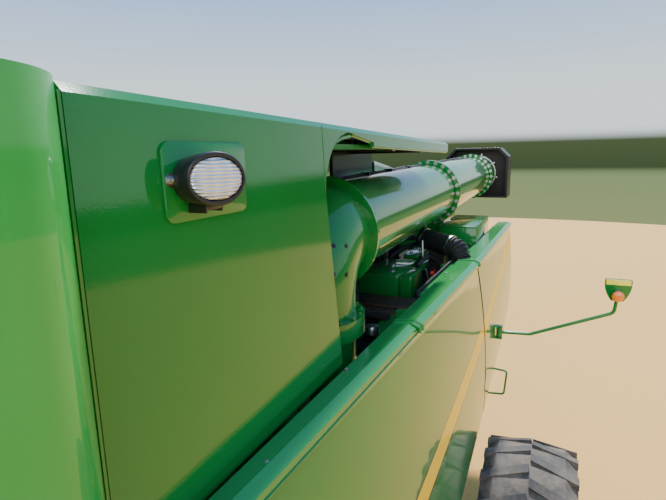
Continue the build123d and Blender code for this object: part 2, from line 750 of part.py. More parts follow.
# Oval work lamp on the left panel's raised plate, turned a little forward, and its right twin.
LAMP_PLATE_X = 1400
LAMP_X = 1465
LAMP_Z = 3553
LAMP_DEPTH = 85
LAMP_TURN = math.radians(30)
lamp_plate = block(
    LAMP_PLATE_X - 145, LAMP_PLATE_X + 145, PANEL_Y + SEAT_GAP, PANEL_Y + 6, LAMP_Z - 88, LAMP_Z + 82
)
lamp_foot = Plane(origin=(LAMP_X, PANEL_Y + 6, LAMP_Z), x_dir=(1, 0, 0), z_dir=(0, 1, 0))
lamp_face = Plane(
    origin=(LAMP_X + 10, PANEL_Y + LAMP_DEPTH, LAMP_Z + 3),
    x_dir=(math.cos(LAMP_TURN), -math.sin(LAMP_TURN), 0),
    z_dir=(math.sin(LAMP_TURN), math.cos(LAMP_TURN), 0),
)
lamp_body = loft([lamp_foot * Ellipse(55, 48), lamp_face * Ellipse(66, 57)], ruled=True)
work_lamp = lamp_plate + lamp_body
save(apart([work_lamp, on_right(work_lamp)]), "work_lamps")


# Capping rails along the shields' top edges, with the ribbed joint part way.
def rail_inner_y(x):
    return line_at(x, 1450, 1262, -3800, 1375)


def shield_top_y(x):
    return line_at(x, 1453, 1357, SHIELD_SEAM_X, 1468) if x > SHIELD_SEAM_X else line_at(
        x, SHIELD_SEAM_X, 1468, -3444, 1501
    )


def shield_low_y(x):
    return line_at(x, 1450, 1606, SHIELD_SEAM_X, 1550) if x > SHIELD_SEAM_X else line_at(
        x, SHIELD_SEAM_X, 1550, -3090, 1520
    )


def rail_section(x, step):
    inner, outer = rail_inner_y(x), shield_top_y(x) + step
    outline = [
        (inner, RAIL_Z - 90),
        (inner, RAIL_Z + 4),
        (outer - 36, RAIL_Z + 12),
        (outer, RAIL_Z - 6),
        (outer, RAIL_Z - RAIL_THICK + 5),
        (outer - 40, RAIL_Z - RAIL_THICK + 5),
        (inner + 20, RAIL_Z - RAIL_THICK + 5),
        (inner + 20, RAIL_Z - 90),
    ]
    return make_face(Polyline(*[(x, y, z) for y, z in outline], close=True))


front_rail = loft([rail_section(RAIL_FRONT_X, 0), rail_section(RAIL_JOINT_X, 0)], ruled=True)
mid_rail = loft([rail_section(RAIL_JOINT_X, 12), rail_section(SHIELD_SEAM_X, 12)], ruled=True)
end_rail = loft([rail_section(SHIELD_SEAM_X, 12), rail_section(RAIL_REAR_X, 12)], ruled=True)
bare_rail = joined([front_rail, mid_rail, end_rail])


# A bracket runs out from the wall at wall_y, with a leg down to a deck where foot_z is given.
def rail_bracket(x, wall_y, foot_z):
    arm = block(x - 20, x + 20, wall_y, rail_inner_y(x) + 10, RAIL_Z - 90, RAIL_Z - 50)
    if foot_z is None:
        return arm
    return arm + block(x - 20, x + 20, wall_y, wall_y + 20, foot_z, RAIL_Z - 50)


tail_bracket = block(-3320, -3280, STRAW_HOOD_HALF_W, rail_inner_y(-3300) + 15, 2500, 2540) + block(
    -3320, -3280, rail_inner_y(-3300) - 10, rail_inner_y(-3300) + 15, 2500, RAIL_Z - 60
)
left_brackets = [(1350, TANK_SIDE_Y, None), (1000, TANK_SIDE_Y, None)]
left_brackets += [(x, DECK_EDGE_Y - 20, DECK_Z) for x in (-200, -1000, -1900)]
right_brackets = [(x, TANK_SIDE_Y, None) for x in (1350, 500, -400)]
right_brackets += [(x, COOLER_OUT_Y, None) for x in (-1500, -2400)]
for side, table in ((1, left_brackets), (-1, right_brackets)):
    rail = joined([bare_rail, tail_bracket] + [rail_bracket(*row) for row in table])
    save(rail if side > 0 else on_right(rail), "shield_rail_left" if side > 0 else "shield_rail_right")


# Side shields: tall doors that lift on a hinge along their top edge.
def shield_section(x):
    top_y, low_y = shield_top_y(x), shield_low_y(x)
    mid_y, mid_z = (top_y + low_y) / 2 + SHIELD_BULGE, (SHIELD_TOP_Z + SHIELD_LOW_Z) / 2
    wall = SHIELD_WALL
    return make_face(
        [
            ThreePointArc((x, top_y, SHIELD_TOP_Z), (x, mid_y, mid_z), (x, low_y, SHIELD_LOW_Z)),
            Line((x, low_y, SHIELD_LOW_Z), (x, low_y - wall, SHIELD_LOW_Z)),
            ThreePointArc(
                (x, low_y - wall, SHIELD_LOW_Z), (x, mid_y - wall, mid_z), (x, top_y - wall, SHIELD_TOP_Z)
            ),
            Line((x, top_y - wall, SHIELD_TOP_Z), (x, top_y, SHIELD_TOP_Z)),
        ]
    )


front_shield = loft(
    [shield_section(SHIELD_FRONT_X), shield_section(SHIELD_SEAM_X + DOOR_GAP / 2)], ruled=True
)
rear_shield = loft([shield_section(SHIELD_SEAM_X - DOOR_GAP / 2), shield_section(SHIELD_REAR_X)], ruled=True)
tyre_room = Pos(FRONT_AXLE_X, 1500, FRONT_TYRE_R) * Rot(90, 0, 0) * Cylinder(FRONT_TYRE_R + 90, 900)
front_shield = front_shield - tyre_room
corner = SHIELD_CORNER_R
rear_cut = make_face(
    [
        Line((SHIELD_REAR_X - 10, 0, SHIELD_LOW_Z - 10), (SHIELD_REAR_X - 10, 0, SHIELD_LOW_Z + corner)),
        Line((SHIELD_REAR_X - 10, 0, SHIELD_LOW_Z + corner), (SHIELD_REAR_X, 0, SHIELD_LOW_Z + corner)),
        ThreePointArc(
            (SHIELD_REAR_X, 0, SHIELD_LOW_Z + corner),
            (SHIELD_REAR_X + corner * 0.293, 0, SHIELD_LOW_Z + corner * 0.293),
            (SHIELD_REAR_X + corner, 0, SHIELD_LOW_Z),
        ),
        Line((SHIELD_REAR_X + corner, 0, SHIELD_LOW_Z), (SHIELD_REAR_X + corner, 0, SHIELD_LOW_Z - 10)),
        Line((SHIELD_REAR_X + corner, 0, SHIELD_LOW_Z - 10), (SHIELD_REAR_X - 10, 0, SHIELD_LOW_Z - 10)),
    ]
)
rear_shield = rear_shield - extrude(rear_cut, amount=2000, dir=(0, 1, 0))
HANDLE_X = -2150
HANDLE_OUT_Y = 1650
handle_y = shield_low_y(HANDLE_X) - SHIELD_WALL / 2
HINGE_BEAD_R = 4.9


def hinge_bead(x0, x1):
    ends = [(x, shield_top_y(x), SHIELD_TOP_Z - 5) for x in (x0, x1)]
    return rod(*ends, HINGE_BEAD_R)


front_shield = front_shield + hinge_bead(SHIELD_FRONT_X, SHIELD_SEAM_X + DOOR_GAP / 2)
handle = bent_rod(
    [
        (HANDLE_X, handle_y, SHIELD_LOW_Z + 10),
        (HANDLE_X, HANDLE_OUT_Y, SHIELD_LOW_Z + 2),
        (HANDLE_X, HANDLE_OUT_Y - 20, SHIELD_LOW_Z - 228),
        (HANDLE_X, handle_y - 40, SHIELD_LOW_Z - 240),
    ],
    28,
    9,
)
MARKER_X = -2020
MARKER_FOOT_Z = 2037
MARKER_PIVOT_R = 26
MARKER_PIVOT_HALF = 45
marker_base_y = line_at(MARKER_FOOT_Z, SHIELD_LOW_Z, shield_low_y(MARKER_X), SHIELD_TOP_Z, shield_top_y(MARKER_X))
marker_pivot_y = marker_base_y + SHIELD_BULGE + MARKER_PIVOT_R + 2
ears = []
for hand in (1, -1):
    ear_z = MARKER_FOOT_Z + hand * (MARKER_PIVOT_HALF + SEAT_GAP + 6)
    ears.append(
        block(
            MARKER_X - MARKER_PIVOT_R,
            MARKER_X + MARKER_PIVOT_R,
            marker_base_y + 10,
            marker_pivot_y + MARKER_PIVOT_R,
            ear_z - 6,
            ear_z + 6,
        )
    )
rear_bead = hinge_bead(SHIELD_SEAM_X - DOOR_GAP / 2, SHIELD_REAR_X)
rear_shield = joined([rear_shield, rear_bead, handle] + ears)
save(front_shield, "front_shield_left")
save(on_right(front_shield), "front_shield_right")
save(rear_shield, "rear_shield_left")
save(on_right(rear_shield), "rear_shield_right")

# Marker arms: a bent tube on a foot, with a lamp and its shield plate at the tip.
MARKER_TUBE_R = 14
MARKER_PLATE_HALF = 96
MARKER_LAMP_Y = MARKER_REACH - MARKER_PLATE_HALF
marker_tube = bent_rod(
    [
        (MARKER_X, marker_pivot_y, MARKER_FOOT_Z),
        (MARKER_X, 1830, MARKER_FOOT_Z + 14),
        (MARKER_X, MARKER_LAMP_Y - 14, MARKER_FOOT_Z + 276),
        (MARKER_X, MARKER_LAMP_Y - 2, MARKER_FOOT_Z + 396),
    ],
    55,
    MARKER_TUBE_R,
)
marker_pivot = Pos(MARKER_X, marker_pivot_y, MARKER_FOOT_Z) * Cylinder(MARKER_PIVOT_R, 2 * MARKER_PIVOT_HALF)
MARKER_LAMP_Z = 2463
marker_plate = Pos(MARKER_X, MARKER_LAMP_Y, MARKER_LAMP_Z + 40) * Box(16, 2 * MARKER_PLATE_HALF, 180)
marker_lamp = rod(
    (MARKER_X - 45, MARKER_LAMP_Y, MARKER_LAMP_Z), (MARKER_X + 45, MARKER_LAMP_Y, MARKER_LAMP_Z), 45
)
marker_arm = joined([marker_tube, marker_pivot, marker_plate, marker_lamp])
save(marker_arm, "marker_arm_left")
save(on_right(marker_arm), "marker_arm_right")


# Unloading auger: a turret in the tank bay, then elbow, tube with bolted rings, and boot.
def auger_z(x):
    return AUGER_Z + AUGER_RISE * (AUGER_RINGS_X[0] - x)


first_ring, second_ring, third_ring = AUGER_RINGS_X
elbow_low_z = auger_z(first_ring) - ELBOW_BEND_R
TURRET_LOW_Z = 2300
turret = tube(
    (AUGER_PIVOT_X, AUGER_Y, TURRET_LOW_Z),
    (AUGER_PIVOT_X, AUGER_Y, elbow_low_z - 140),
    AUGER_TUBE_R,
    AUGER_WALL * 2,
)
turret_collar = tube(
    (AUGER_PIVOT_X, AUGER_Y, elbow_low_z - 170),
    (AUGER_PIVOT_X, AUGER_Y, elbow_low_z - 118 - SEAT_GAP),
    AUGER_RING_R,
    AUGER_RING_R - AUGER_TUBE_R + AUGER_WALL * 2,
)
turret_foot = block(
    AUGER_PIVOT_X - 260, AUGER_PIVOT_X + 260, TANK_BAY_Y + SEAT_GAP, AUGER_Y + 240, TURRET_LOW_Z - 60, TURRET_LOW_Z
)
save(joined([turret, turret_collar, turret_foot]), "auger_turret")

elbow_path = ThreePointArc(
    (AUGER_PIVOT_X, AUGER_Y, elbow_low_z),
    (
        AUGER_PIVOT_X - ELBOW_BEND_R * (1 - math.cos(math.radians(45))),
        AUGER_Y,
        elbow_low_z + ELBOW_BEND_R * math.sin(math.radians(45)),
    ),
    (AUGER_PIVOT_X - ELBOW_BEND_R, AUGER_Y, elbow_low_z + ELBOW_BEND_R),
)
elbow = sweep(Plane(origin=elbow_path @ 0, z_dir=elbow_path % 0) * Circle(AUGER_TUBE_R), path=elbow_path)
elbow_collar = Pos(AUGER_PIVOT_X, AUGER_Y, elbow_low_z - 59) * Cylinder(AUGER_TUBE_R, 118)
elbow_swivel = Pos(AUGER_PIVOT_X, AUGER_Y, elbow_low_z - 102) * Cylinder(AUGER_RING_R, 32)
elbow_ring = rod(
    (first_ring, AUGER_Y, auger_z(first_ring)),
    (first_ring + AUGER_RING_THICK, AUGER_Y, auger_z(first_ring + AUGER_RING_THICK)),
    AUGER_RING_R,
)
save(joined([elbow, elbow_collar, elbow_swivel, elbow_ring]), "auger_elbow")

boot_x0 = -HALF_LENGTH
boot_x1 = -HALF_LENGTH + BOOT_LENGTH
boot_face_x = boot_x1 - BOOT_LIP
tube_end_x = boot_face_x - 60
tube_start = (first_ring - SEAT_GAP, AUGER_Y, auger_z(first_ring))
tube_parts = [tube(tube_start, (tube_end_x, AUGER_Y, auger_z(tube_end_x)), AUGER_TUBE_R, AUGER_WALL)]
for x, both in ((first_ring, False), (second_ring, True), (third_ring, True)):
    start = x - SEAT_GAP if not both else x + AUGER_RING_THICK
    tube_parts.append(
        tube(
            (start, AUGER_Y, auger_z(start)),
            (x - AUGER_RING_THICK, AUGER_Y, auger_z(x - AUGER_RING_THICK)),
            AUGER_RING_R,
            AUGER_RING_R - AUGER_TUBE_R + AUGER_WALL,
        )
    )
save(joined(tube_parts), "auger_tube")

boot_z = auger_z(tube_end_x) + 10


def boot_plan(half_w, half_h, chamfer):
    return [
        (AUGER_Y - half_w, boot_z - half_h),
        (AUGER_Y + half_w, boot_z - half_h),
        (AUGER_Y + half_w, boot_z + half_h - chamfer),
        (AUGER_Y + half_w - chamfer, boot_z + half_h),
        (AUGER_Y - half_w + chamfer, boot_z + half_h),
        (AUGER_Y - half_w, boot_z + half_h - chamfer),
    ]


# The boot's front is a wall with the tube through it, set back behind an open lip.
inner_plan = boot_plan(BOOT_HALF_W - BOOT_WALL, BOOT_HALF_H - BOOT_WALL, BOOT_CHAMFER * 0.92)
boot = front_profile(boot_plan(BOOT_HALF_W, BOOT_HALF_H, BOOT_CHAMFER), boot_x0, boot_x1)
boot_recess = front_profile(inner_plan, boot_face_x, boot_x1 + 10)
boot_hollow = front_profile(inner_plan, boot_x0 + BOOT_WALL, boot_face_x - BOOT_WALL)
boot_mouth = block(
    boot_x0 + BOOT_WALL,
    boot_face_x - BOOT_WALL,
    AUGER_Y - BOOT_HALF_W + BOOT_WALL,
    AUGER_Y + BOOT_HALF_W - BOOT_WALL,
    boot_z - BOOT_HALF_H - 10,
    boot_z,
)
boot_socket = rod(
    (boot_face_x - BOOT_WALL - 10, AUGER_Y, auger_z(boot_face_x - BOOT_WALL - 10)),
    (boot_face_x + 10, AUGER_Y, auger_z(boot_face_x + 10)),
    AUGER_TUBE_R + SEAT_GAP,
)
save(boot - boot_recess - boot_hollow - boot_mouth - boot_socket, "auger_boot")

# Engine deck behind the tank, the engine as one block, and what stands on the deck.
engine_block = block(-2500, -1150, -350, 450, BODY_TOP_Z + 60, 2960)
ENGINE_FEET_X = (-2300, -1350)
feet = [block(x - 60, x + 60, -300, 400, BODY_TOP_Z + SEAT_GAP, BODY_TOP_Z + 60) for x in ENGINE_FEET_X]
save(joined([engine_block] + feet), "engine_block")

COOLER_Y0 = -COOLER_OUT_Y
COOLER_Y1 = -520
cooling_housing = block(-2700, -1000, COOLER_Y0, COOLER_Y1, BODY_TOP_Z + SEAT_GAP, 3360)
cooling_housing = cooling_housing - block(-2620, -1080, COOLER_Y0 - 10, COOLER_Y0 + 90, 2350, 3280)
save(cooling_housing, "cooling_housing")
SCREEN_R = 440
screen_x, screen_z = -1850, 2815
screen = rod((screen_x, COOLER_Y0 + 10, screen_z), (screen_x, COOLER_Y0 + 70, screen_z), SCREEN_R)
screen_shaft = rod((screen_x, COOLER_Y0 + 70, screen_z), (screen_x, COOLER_Y0 + 90 - SEAT_GAP, screen_z), 60)
save(screen + screen_shaft, "cooling_screen")

ENGINE_WALL_X = (-2150, -1290)
ENGINE_WALL_THICK = 20
ENGINE_WALL_DROP = 90
deck_in_y = BODY_HALF_W - 180
deck_parts = [
    block(DECK_REAR_X, TANK_REAR_X - 30, deck_in_y, DECK_EDGE_Y, DECK_Z - 30, DECK_Z),
    block(TANK_REAR_X - 30, AUGER_PIVOT_X - 330, TANK_BAY_Y + SEAT_GAP, DECK_EDGE_Y, DECK_Z - 30, DECK_Z),
    block(-2950, -2130, 1010, 1330, DECK_Z, 2940),
]
for x in (DECK_REAR_X + 430, -1500, TANK_REAR_X - 90):
    deck_parts.append(block(x, x + 60, deck_in_y, deck_in_y + 60, BODY_TOP_Z + SEAT_GAP, DECK_Z - 30))
# A sheet stands on the deck between the engine and the auger, lower at its rear.
wall_rear, wall_front = ENGINE_WALL_X
engine_wall = side_profile(
    [
        (wall_rear, DECK_Z),
        (wall_front, DECK_Z),
        (wall_front, TANK_TOP_Z - ENGINE_WALL_DROP),
        (wall_rear, TANK_TOP_Z - ENGINE_WALL_DROP * 2),
    ],
    TANK_BAY_Y - ENGINE_WALL_THICK,
    TANK_BAY_Y,
)
deck_parts.append(engine_wall)
save(joined(deck_parts), "engine_deck")
AIR_PIPE_X = -1560
AIR_PIPE_R = 83
air_pipe = rod(
    (AIR_PIPE_X - 50, 980, DECK_Z + 315), (AIR_PIPE_X + 50, DECK_EDGE_Y + 20, DECK_Z + 275), AIR_PIPE_R
)
air_leg = block(
    AIR_PIPE_X - 50, AIR_PIPE_X + 50, 1060, 1180, DECK_Z + SEAT_GAP, DECK_Z + 240
)
save(air_pipe + air_leg, "air_pipe")

FUEL_FRONT_X = DECK_REAR_X - 10
fuel_tank = block(HOOD_REAR_X + 220, FUEL_FRONT_X, -1050, 900, 2560 + SEAT_GAP, 2930)
fuel_tank = fillet(fuel_tank.edges().filter_by(Axis.Y), 70)
save(fuel_tank, "fuel_tank")

# Cab: floor, rear wall, pillars and sill, roof, glass, door, seat and steering column.
cab_floor = block(CAB_REAR_X, CAB_FRONT_X, -CAB_HALF_W, CAB_HALF_W, CAB_FLOOR_Z, CAB_FLOOR_Z + 50)
cab_rear = block(CAB_REAR_X, CAB_REAR_X + 50, -CAB_HALF_W, CAB_HALF_W, CAB_FLOOR_Z, CAB_ROOF_Z)
cab_rear = cab_rear - block(
    CAB_REAR_X - 10, CAB_REAR_X + 60, -CAB_HALF_W + 150, CAB_HALF_W - 150, CAB_FLOOR_Z + 800, CAB_ROOF_Z - 90
)
cab_posts = []
for side in (1, -1):
    for x in (CAB_REAR_X, CAB_FRONT_X - CAB_PILLAR):
        y0 = side * CAB_HALF_W
        y1 = side * (CAB_HALF_W - CAB_PILLAR)
        cab_posts.append(block(x, x + CAB_PILLAR, min(y0, y1), max(y0, y1), CAB_FLOOR_Z, CAB_ROOF_Z))
rear_post_end = CAB_DOOR_REAR_X - DOOR_GAP
cab_posts.append(
    block(
        CAB_REAR_X, rear_post_end, CAB_HALF_W - 50, CAB_HALF_W, CAB_FLOOR_Z, CAB_ROOF_Z
    )
)
cab_posts.append(
    block(
        CAB_REAR_X, rear_post_end, -CAB_HALF_W, -CAB_HALF_W + 50, CAB_FLOOR_Z, CAB_ROOF_Z
    )
)
cab_posts.append(
    block(
        CAB_DOOR_FRONT_X + DOOR_GAP,
        CAB_DOOR_FRONT_X + DOOR_GAP + 50,
        CAB_HALF_W - 50,
        CAB_HALF_W,
        CAB_FLOOR_Z,
        CAB_ROOF_Z,
    )
)
cab_support = block(CAB_REAR_X + 100, BODY_FRONT_X + 850, -500, 500, BODY_NOSE_Z + SEAT_GAP, CAB_FLOOR_Z)
HINGE_R = 12
DOOR_HINGE_X = CAB_DOOR_REAR_X - DOOR_GAP / 2
DOOR_HINGE_Y = CAB_HALF_W + HINGE_R
HINGE_HEIGHTS = (CAB_FLOOR_Z + 340, CAB_ROOF_Z - 310)
KNUCKLE_HALF = 40


def knuckle_barrel(z0, z1, leaf_x0, leaf_x1):
    pin = Pos(DOOR_HINGE_X, DOOR_HINGE_Y, (z0 + z1) / 2) * Cylinder(HINGE_R, z1 - z0)
    return pin + block(leaf_x0, leaf_x1, CAB_HALF_W, DOOR_HINGE_Y - 2, z0, z1)


frame_hinges = []
door_hinges = []
for z in HINGE_HEIGHTS:
    for hand in (1, -1):
        near, far = z + hand * (KNUCKLE_HALF + SEAT_GAP), z + hand * 2 * KNUCKLE_HALF
        frame_hinges.append(knuckle_barrel(min(near, far), max(near, far), DOOR_HINGE_X - 34, DOOR_HINGE_X))
    door_hinges.append(knuckle_barrel(z - KNUCKLE_HALF, z + KNUCKLE_HALF, DOOR_HINGE_X, DOOR_HINGE_X + 34))
save(joined([cab_floor, cab_rear, cab_support] + cab_posts + frame_hinges), "cab_frame")

roof_base = CAB_ROOF_Z + SEAT_GAP
cab_roof = side_profile(
    [
        (CAB_REAR_X - 30, roof_base),
        (CAB_REAR_X - 30, roof_base + CAB_ROOF_THICK - 60),
        (CAB_REAR_X + 300, roof_base + CAB_ROOF_THICK),
        (CAB_FRONT_X - 300, roof_base + CAB_ROOF_THICK),
        (CAB_FRONT_X + 230, roof_base + CAB_ROOF_THICK - 90),
        (CAB_FRONT_X + 260, roof_base + 40),
        (CAB_FRONT_X + 120, roof_base),
    ],
    -CAB_HALF_W - 60,
    CAB_HALF_W + 60,
)
cab_roof = fillet(cab_roof.edges().filter_by(Axis.Y), 28)
save(cab_roof, "cab_roof")

glass_low = CAB_FLOOR_Z + 50 + SEAT_GAP
glass_top = CAB_ROOF_Z - SEAT_GAP
windscreen = top_profile(
    [
        (CAB_FRONT_X + SEAT_GAP, CAB_HALF_W - 30),
        (CAB_FRONT_X + 130, CAB_HALF_W * 0.55),
        (CAB_FRONT_X + 165, 0),
        (CAB_FRONT_X + 130, -CAB_HALF_W * 0.55),
        (CAB_FRONT_X + SEAT_GAP, -CAB_HALF_W + 30),
        (CAB_FRONT_X + SEAT_GAP, -CAB_HALF_W + 42),
        (CAB_FRONT_X + 122, -CAB_HALF_W * 0.55),
        (CAB_FRONT_X + 157, 0),
        (CAB_FRONT_X + 122, CAB_HALF_W * 0.55),
        (CAB_FRONT_X + SEAT_GAP, CAB_HALF_W - 42),
    ],
    glass_low,
    glass_top,
)
side_glass = block(
    CAB_DOOR_REAR_X,
    CAB_FRONT_X - CAB_PILLAR - SEAT_GAP,
    -CAB_HALF_W + 20,
    -CAB_HALF_W + 20 + GLASS_WALL,
    glass_low,
    glass_top,
)
rear_glass = block(
    CAB_REAR_X + 20,
    CAB_REAR_X + 20 + GLASS_WALL,
    -CAB_HALF_W + 150 + SEAT_GAP,
    CAB_HALF_W - 150 - SEAT_GAP,
    CAB_FLOOR_Z + 800 + SEAT_GAP,
    CAB_ROOF_Z - 90 - SEAT_GAP,
)
quarter_glass = block(
    CAB_DOOR_FRONT_X + DOOR_GAP + 50 + SEAT_GAP,
    CAB_FRONT_X - CAB_PILLAR - SEAT_GAP,
    CAB_HALF_W - 20 - GLASS_WALL,
    CAB_HALF_W - 20,
    glass_low,
    glass_top,
)
save(apart([windscreen, side_glass, rear_glass, quarter_glass]), "cab_glass")

DOOR_FRAME = 45
door_z0, door_z1 = CAB_FLOOR_Z + 58, CAB_ROOF_Z - DOOR_GAP
door = block(CAB_DOOR_REAR_X, CAB_DOOR_FRONT_X, CAB_HALF_W - 35, CAB_HALF_W, door_z0, door_z1)
door_window = block(
    CAB_DOOR_REAR_X + DOOR_FRAME,
    CAB_DOOR_FRONT_X - DOOR_FRAME,
    CAB_HALF_W - 50,
    CAB_HALF_W + 50,
    door_z0 + DOOR_FRAME,
    door_z1 - DOOR_FRAME,
)
save(joined([door - door_window] + door_hinges), "cab_door")
door_glass = block(
    CAB_DOOR_REAR_X + DOOR_FRAME + SEAT_GAP,
    CAB_DOOR_FRONT_X - DOOR_FRAME - SEAT_GAP,
    CAB_HALF_W - 22,
    CAB_HALF_W - 22 + GLASS_WALL,
    door_z0 + DOOR_FRAME + SEAT_GAP,
    door_z1 - DOOR_FRAME - SEAT_GAP,
)
save(door_glass, "cab_door_glass")

SEAT_X = 2750
seat_z = CAB_FLOOR_Z + 50
seat_pedestal = block(SEAT_X - 180, SEAT_X + 180, -200, 200, seat_z + SEAT_GAP, seat_z + 380)
seat_cushion = block(SEAT_X - 260, SEAT_X + 260, -260, 260, seat_z + 380, seat_z + 520)
seat_back = side_profile(
    [
        (SEAT_X - 170, seat_z + 520),
        (SEAT_X - 290, seat_z + 1180),
        (SEAT_X - 410, seat_z + 1180),
        (SEAT_X - 300, seat_z + 420),
        (SEAT_X - 260, seat_z + 420),
        (SEAT_X - 260, seat_z + 520),
    ],
    -240,
    240,
)
save(joined([seat_pedestal, seat_cushion, seat_back]), "operator_seat")
column_low = (3560, 0, seat_z + SEAT_GAP)
column_top = (3330, 0, seat_z + 760)
column = block(3480, 3640, -90, 90, seat_z + SEAT_GAP, seat_z + 60) + rod((3560, 0, seat_z + 30), column_top, 45)
wheel_plane = Plane(origin=column_top, z_dir=(-230, 0, 760))
steering_wheel = wheel_plane * Torus(190, 16)
spokes = joined([wheel_plane * (Rot(0, 0, 120 * i) * Pos(92, 0, 0) * Box(188, 26, 12)) for i in range(3)])
save(joined([column, steering_wheel, spokes]), "steering_column")

# Operator platform on the left, with its outer guard rail, and the swinging ladder.
platform_z = CAB_FLOOR_Z - 10
platform_front_x = CAB_FRONT_X - 60
deck_plate = block(
    PLATFORM_REAR_X, platform_front_x, CAB_HALF_W + 12, PLATFORM_OUT_Y, platform_z - PLATFORM_THICK, platform_z
)
platform_arm_z = platform_z - PLATFORM_THICK
platform_arms = [
    block(x - 40, x + 40, BODY_HALF_W, 1000, platform_arm_z - 60, platform_arm_z)
    for x in (PLATFORM_REAR_X + 200, BODY_FRONT_X + 800)
]
rail_y = PLATFORM_OUT_Y - 25
guard_low = platform_z - 20
guard = bent_rod(
    [
        (PLATFORM_REAR_X + 260, rail_y, guard_low),
        (PLATFORM_REAR_X + 260, rail_y, platform_z + 900),
        (platform_front_x - 560, rail_y, platform_z + 900),
        (platform_front_x - 560, rail_y, guard_low),
    ],
    110,
    RAIL_TUBE_R,
)
guard_mid = rod(
    (PLATFORM_REAR_X + 260, rail_y, platform_z + 450), (platform_front_x - 560, rail_y, platform_z + 450), 14
)
front_guard = bent_rod(
    [
        (platform_front_x - 30, CAB_HALF_W + 120, guard_low),
        (platform_front_x - 30, CAB_HALF_W + 120, platform_z + 900),
        (platform_front_x - 30, rail_y, platform_z + 900),
        (platform_front_x - 30, rail_y, guard_low),
    ],
    110,
    RAIL_TUBE_R,
)
LADDER_HINGE_X = platform_front_x - 20
LADDER_Y = PLATFORM_OUT_Y + 45
LADDER_PIN_R = 12
LUG_TOP_Z = platform_z + 16
ladder_lug = block(
    LADDER_HINGE_X - 30,
    LADDER_HINGE_X + 2 * LADDER_PIN_R,
    PLATFORM_OUT_Y - 60,
    LADDER_Y + 30,
    platform_z + SEAT_GAP,
    LUG_TOP_Z,
)
ladder_lug = ladder_lug - rod(
    (LADDER_HINGE_X, LADDER_Y, platform_z), (LADDER_HINGE_X, LADDER_Y, LUG_TOP_Z + 1), LADDER_PIN_R + SEAT_GAP
)
ladder_lug = ladder_lug + block(
    LADDER_HINGE_X - 30, LADDER_HINGE_X, PLATFORM_OUT_Y - 60, PLATFORM_OUT_Y - 20, platform_z - 5, LUG_TOP_Z
)
save(joined([deck_plate, guard, guard_mid, front_guard, ladder_lug] + platform_arms), "platform_left")

ladder_rear_x = LADDER_HINGE_X - LADDER_WIDTH
ladder_parts = []
for x in (ladder_rear_x, LADDER_HINGE_X - 30):
    ladder_parts.append(block(x, x + 30, LADDER_Y - 30, LADDER_Y + 30, LADDER_LOW_Z, platform_z))
LADDER_STEPS = 5
step_pitch = (platform_z - LADDER_LOW_Z) / LADDER_STEPS
for step in range(LADDER_STEPS):
    z = LADDER_LOW_Z + 20 + step * step_pitch
    ladder_parts.append(block(ladder_rear_x + 10, LADDER_HINGE_X - 10, LADDER_Y - 75, LADDER_Y + 75, z, z + 30))
ladder_parts.append(
    rod((LADDER_HINGE_X, LADDER_Y, platform_z - 120), (LADDER_HINGE_X, LADDER_Y, LUG_TOP_Z), LADDER_PIN_R)
)
save(joined(ladder_parts), "entry_ladder")

# Mirrors on arms at the cab's front corners.
mirror_arm = bent_rod(
    [
        (CAB_FRONT_X + 60, CAB_HALF_W + 40, CAB_ROOF_Z + 80),
        (CAB_FRONT_X + 330, CAB_HALF_W + 330, CAB_ROOF_Z + 80),
        (CAB_FRONT_X + 330, CAB_HALF_W + 330, CAB_ROOF_Z - 80),
    ],
    60,
    16,
)
mirror_head = block(
    CAB_FRONT_X + 300, CAB_FRONT_X + 350, CAB_HALF_W + 200, CAB_HALF_W + 460, CAB_ROOF_Z - 560, CAB_ROOF_Z - 80
)
mirror_arm = mirror_arm - cab_roof
save(apart([mirror_arm + mirror_head, on_right(mirror_arm + mirror_head)]), "mirrors")

# Feeder house: a sloping tunnel hung on a cross shaft, with its drum and face frame.
CYL_TIP_X = HALF_LENGTH - 1070
LIFT_LUG_DROP = 103.5
LIFT_EYE_HALF_W = 40
LIFT_EYE_BORE_R = 28
LIFT_PIN_R = 13
LUG_THICK = 16
LUG_GAP = 6


def feeder_floor_z(x):
    return line_at(x, FEEDER_PIVOT_X + 20, FEEDER_PIVOT_Z - 325, HALF_LENGTH - 60, FEEDER_FRONT_LOW_Z + 5)


CYL_TIP_Z = feeder_floor_z(CYL_TIP_X) - LIFT_LUG_DROP


feeder_outer = [
    (FEEDER_PIVOT_X + 20, FEEDER_PIVOT_Z + 140),
    (HALF_LENGTH - 60, FEEDER_FRONT_TOP_Z),
    (HALF_LENGTH - 60, FEEDER_FRONT_LOW_Z),
    (FEEDER_PIVOT_X + 20, FEEDER_PIVOT_Z - 330),
]
feeder_inner = [
    (FEEDER_PIVOT_X + 10, FEEDER_PIVOT_Z + 110),
    (HALF_LENGTH - 50, FEEDER_FRONT_TOP_Z - FEEDER_WALL),
    (HALF_LENGTH - 50, FEEDER_FRONT_LOW_Z + FEEDER_WALL),
    (FEEDER_PIVOT_X + 10, FEEDER_PIVOT_Z - 300),
]
feeder = side_profile(feeder_outer, -FEEDER_HALF_W, FEEDER_HALF_W)
feeder = feeder - side_profile(feeder_inner, -FEEDER_HALF_W + FEEDER_WALL, FEEDER_HALF_W - FEEDER_WALL)
face_frame = block(
    HALF_LENGTH - 60,
    HALF_LENGTH,
    -FEEDER_HALF_W - 90,
    FEEDER_HALF_W + 90,
    FEEDER_FRONT_LOW_Z - 60,
    FEEDER_FRONT_TOP_Z + 90,
) - block(
    HALF_LENGTH - 70,
    HALF_LENGTH + 10,
    -FEEDER_HALF_W + FEEDER_WALL,
    FEEDER_HALF_W - FEEDER_WALL,
    FEEDER_FRONT_LOW_Z + FEEDER_WALL,
    FEEDER_FRONT_TOP_Z - FEEDER_WALL,
)
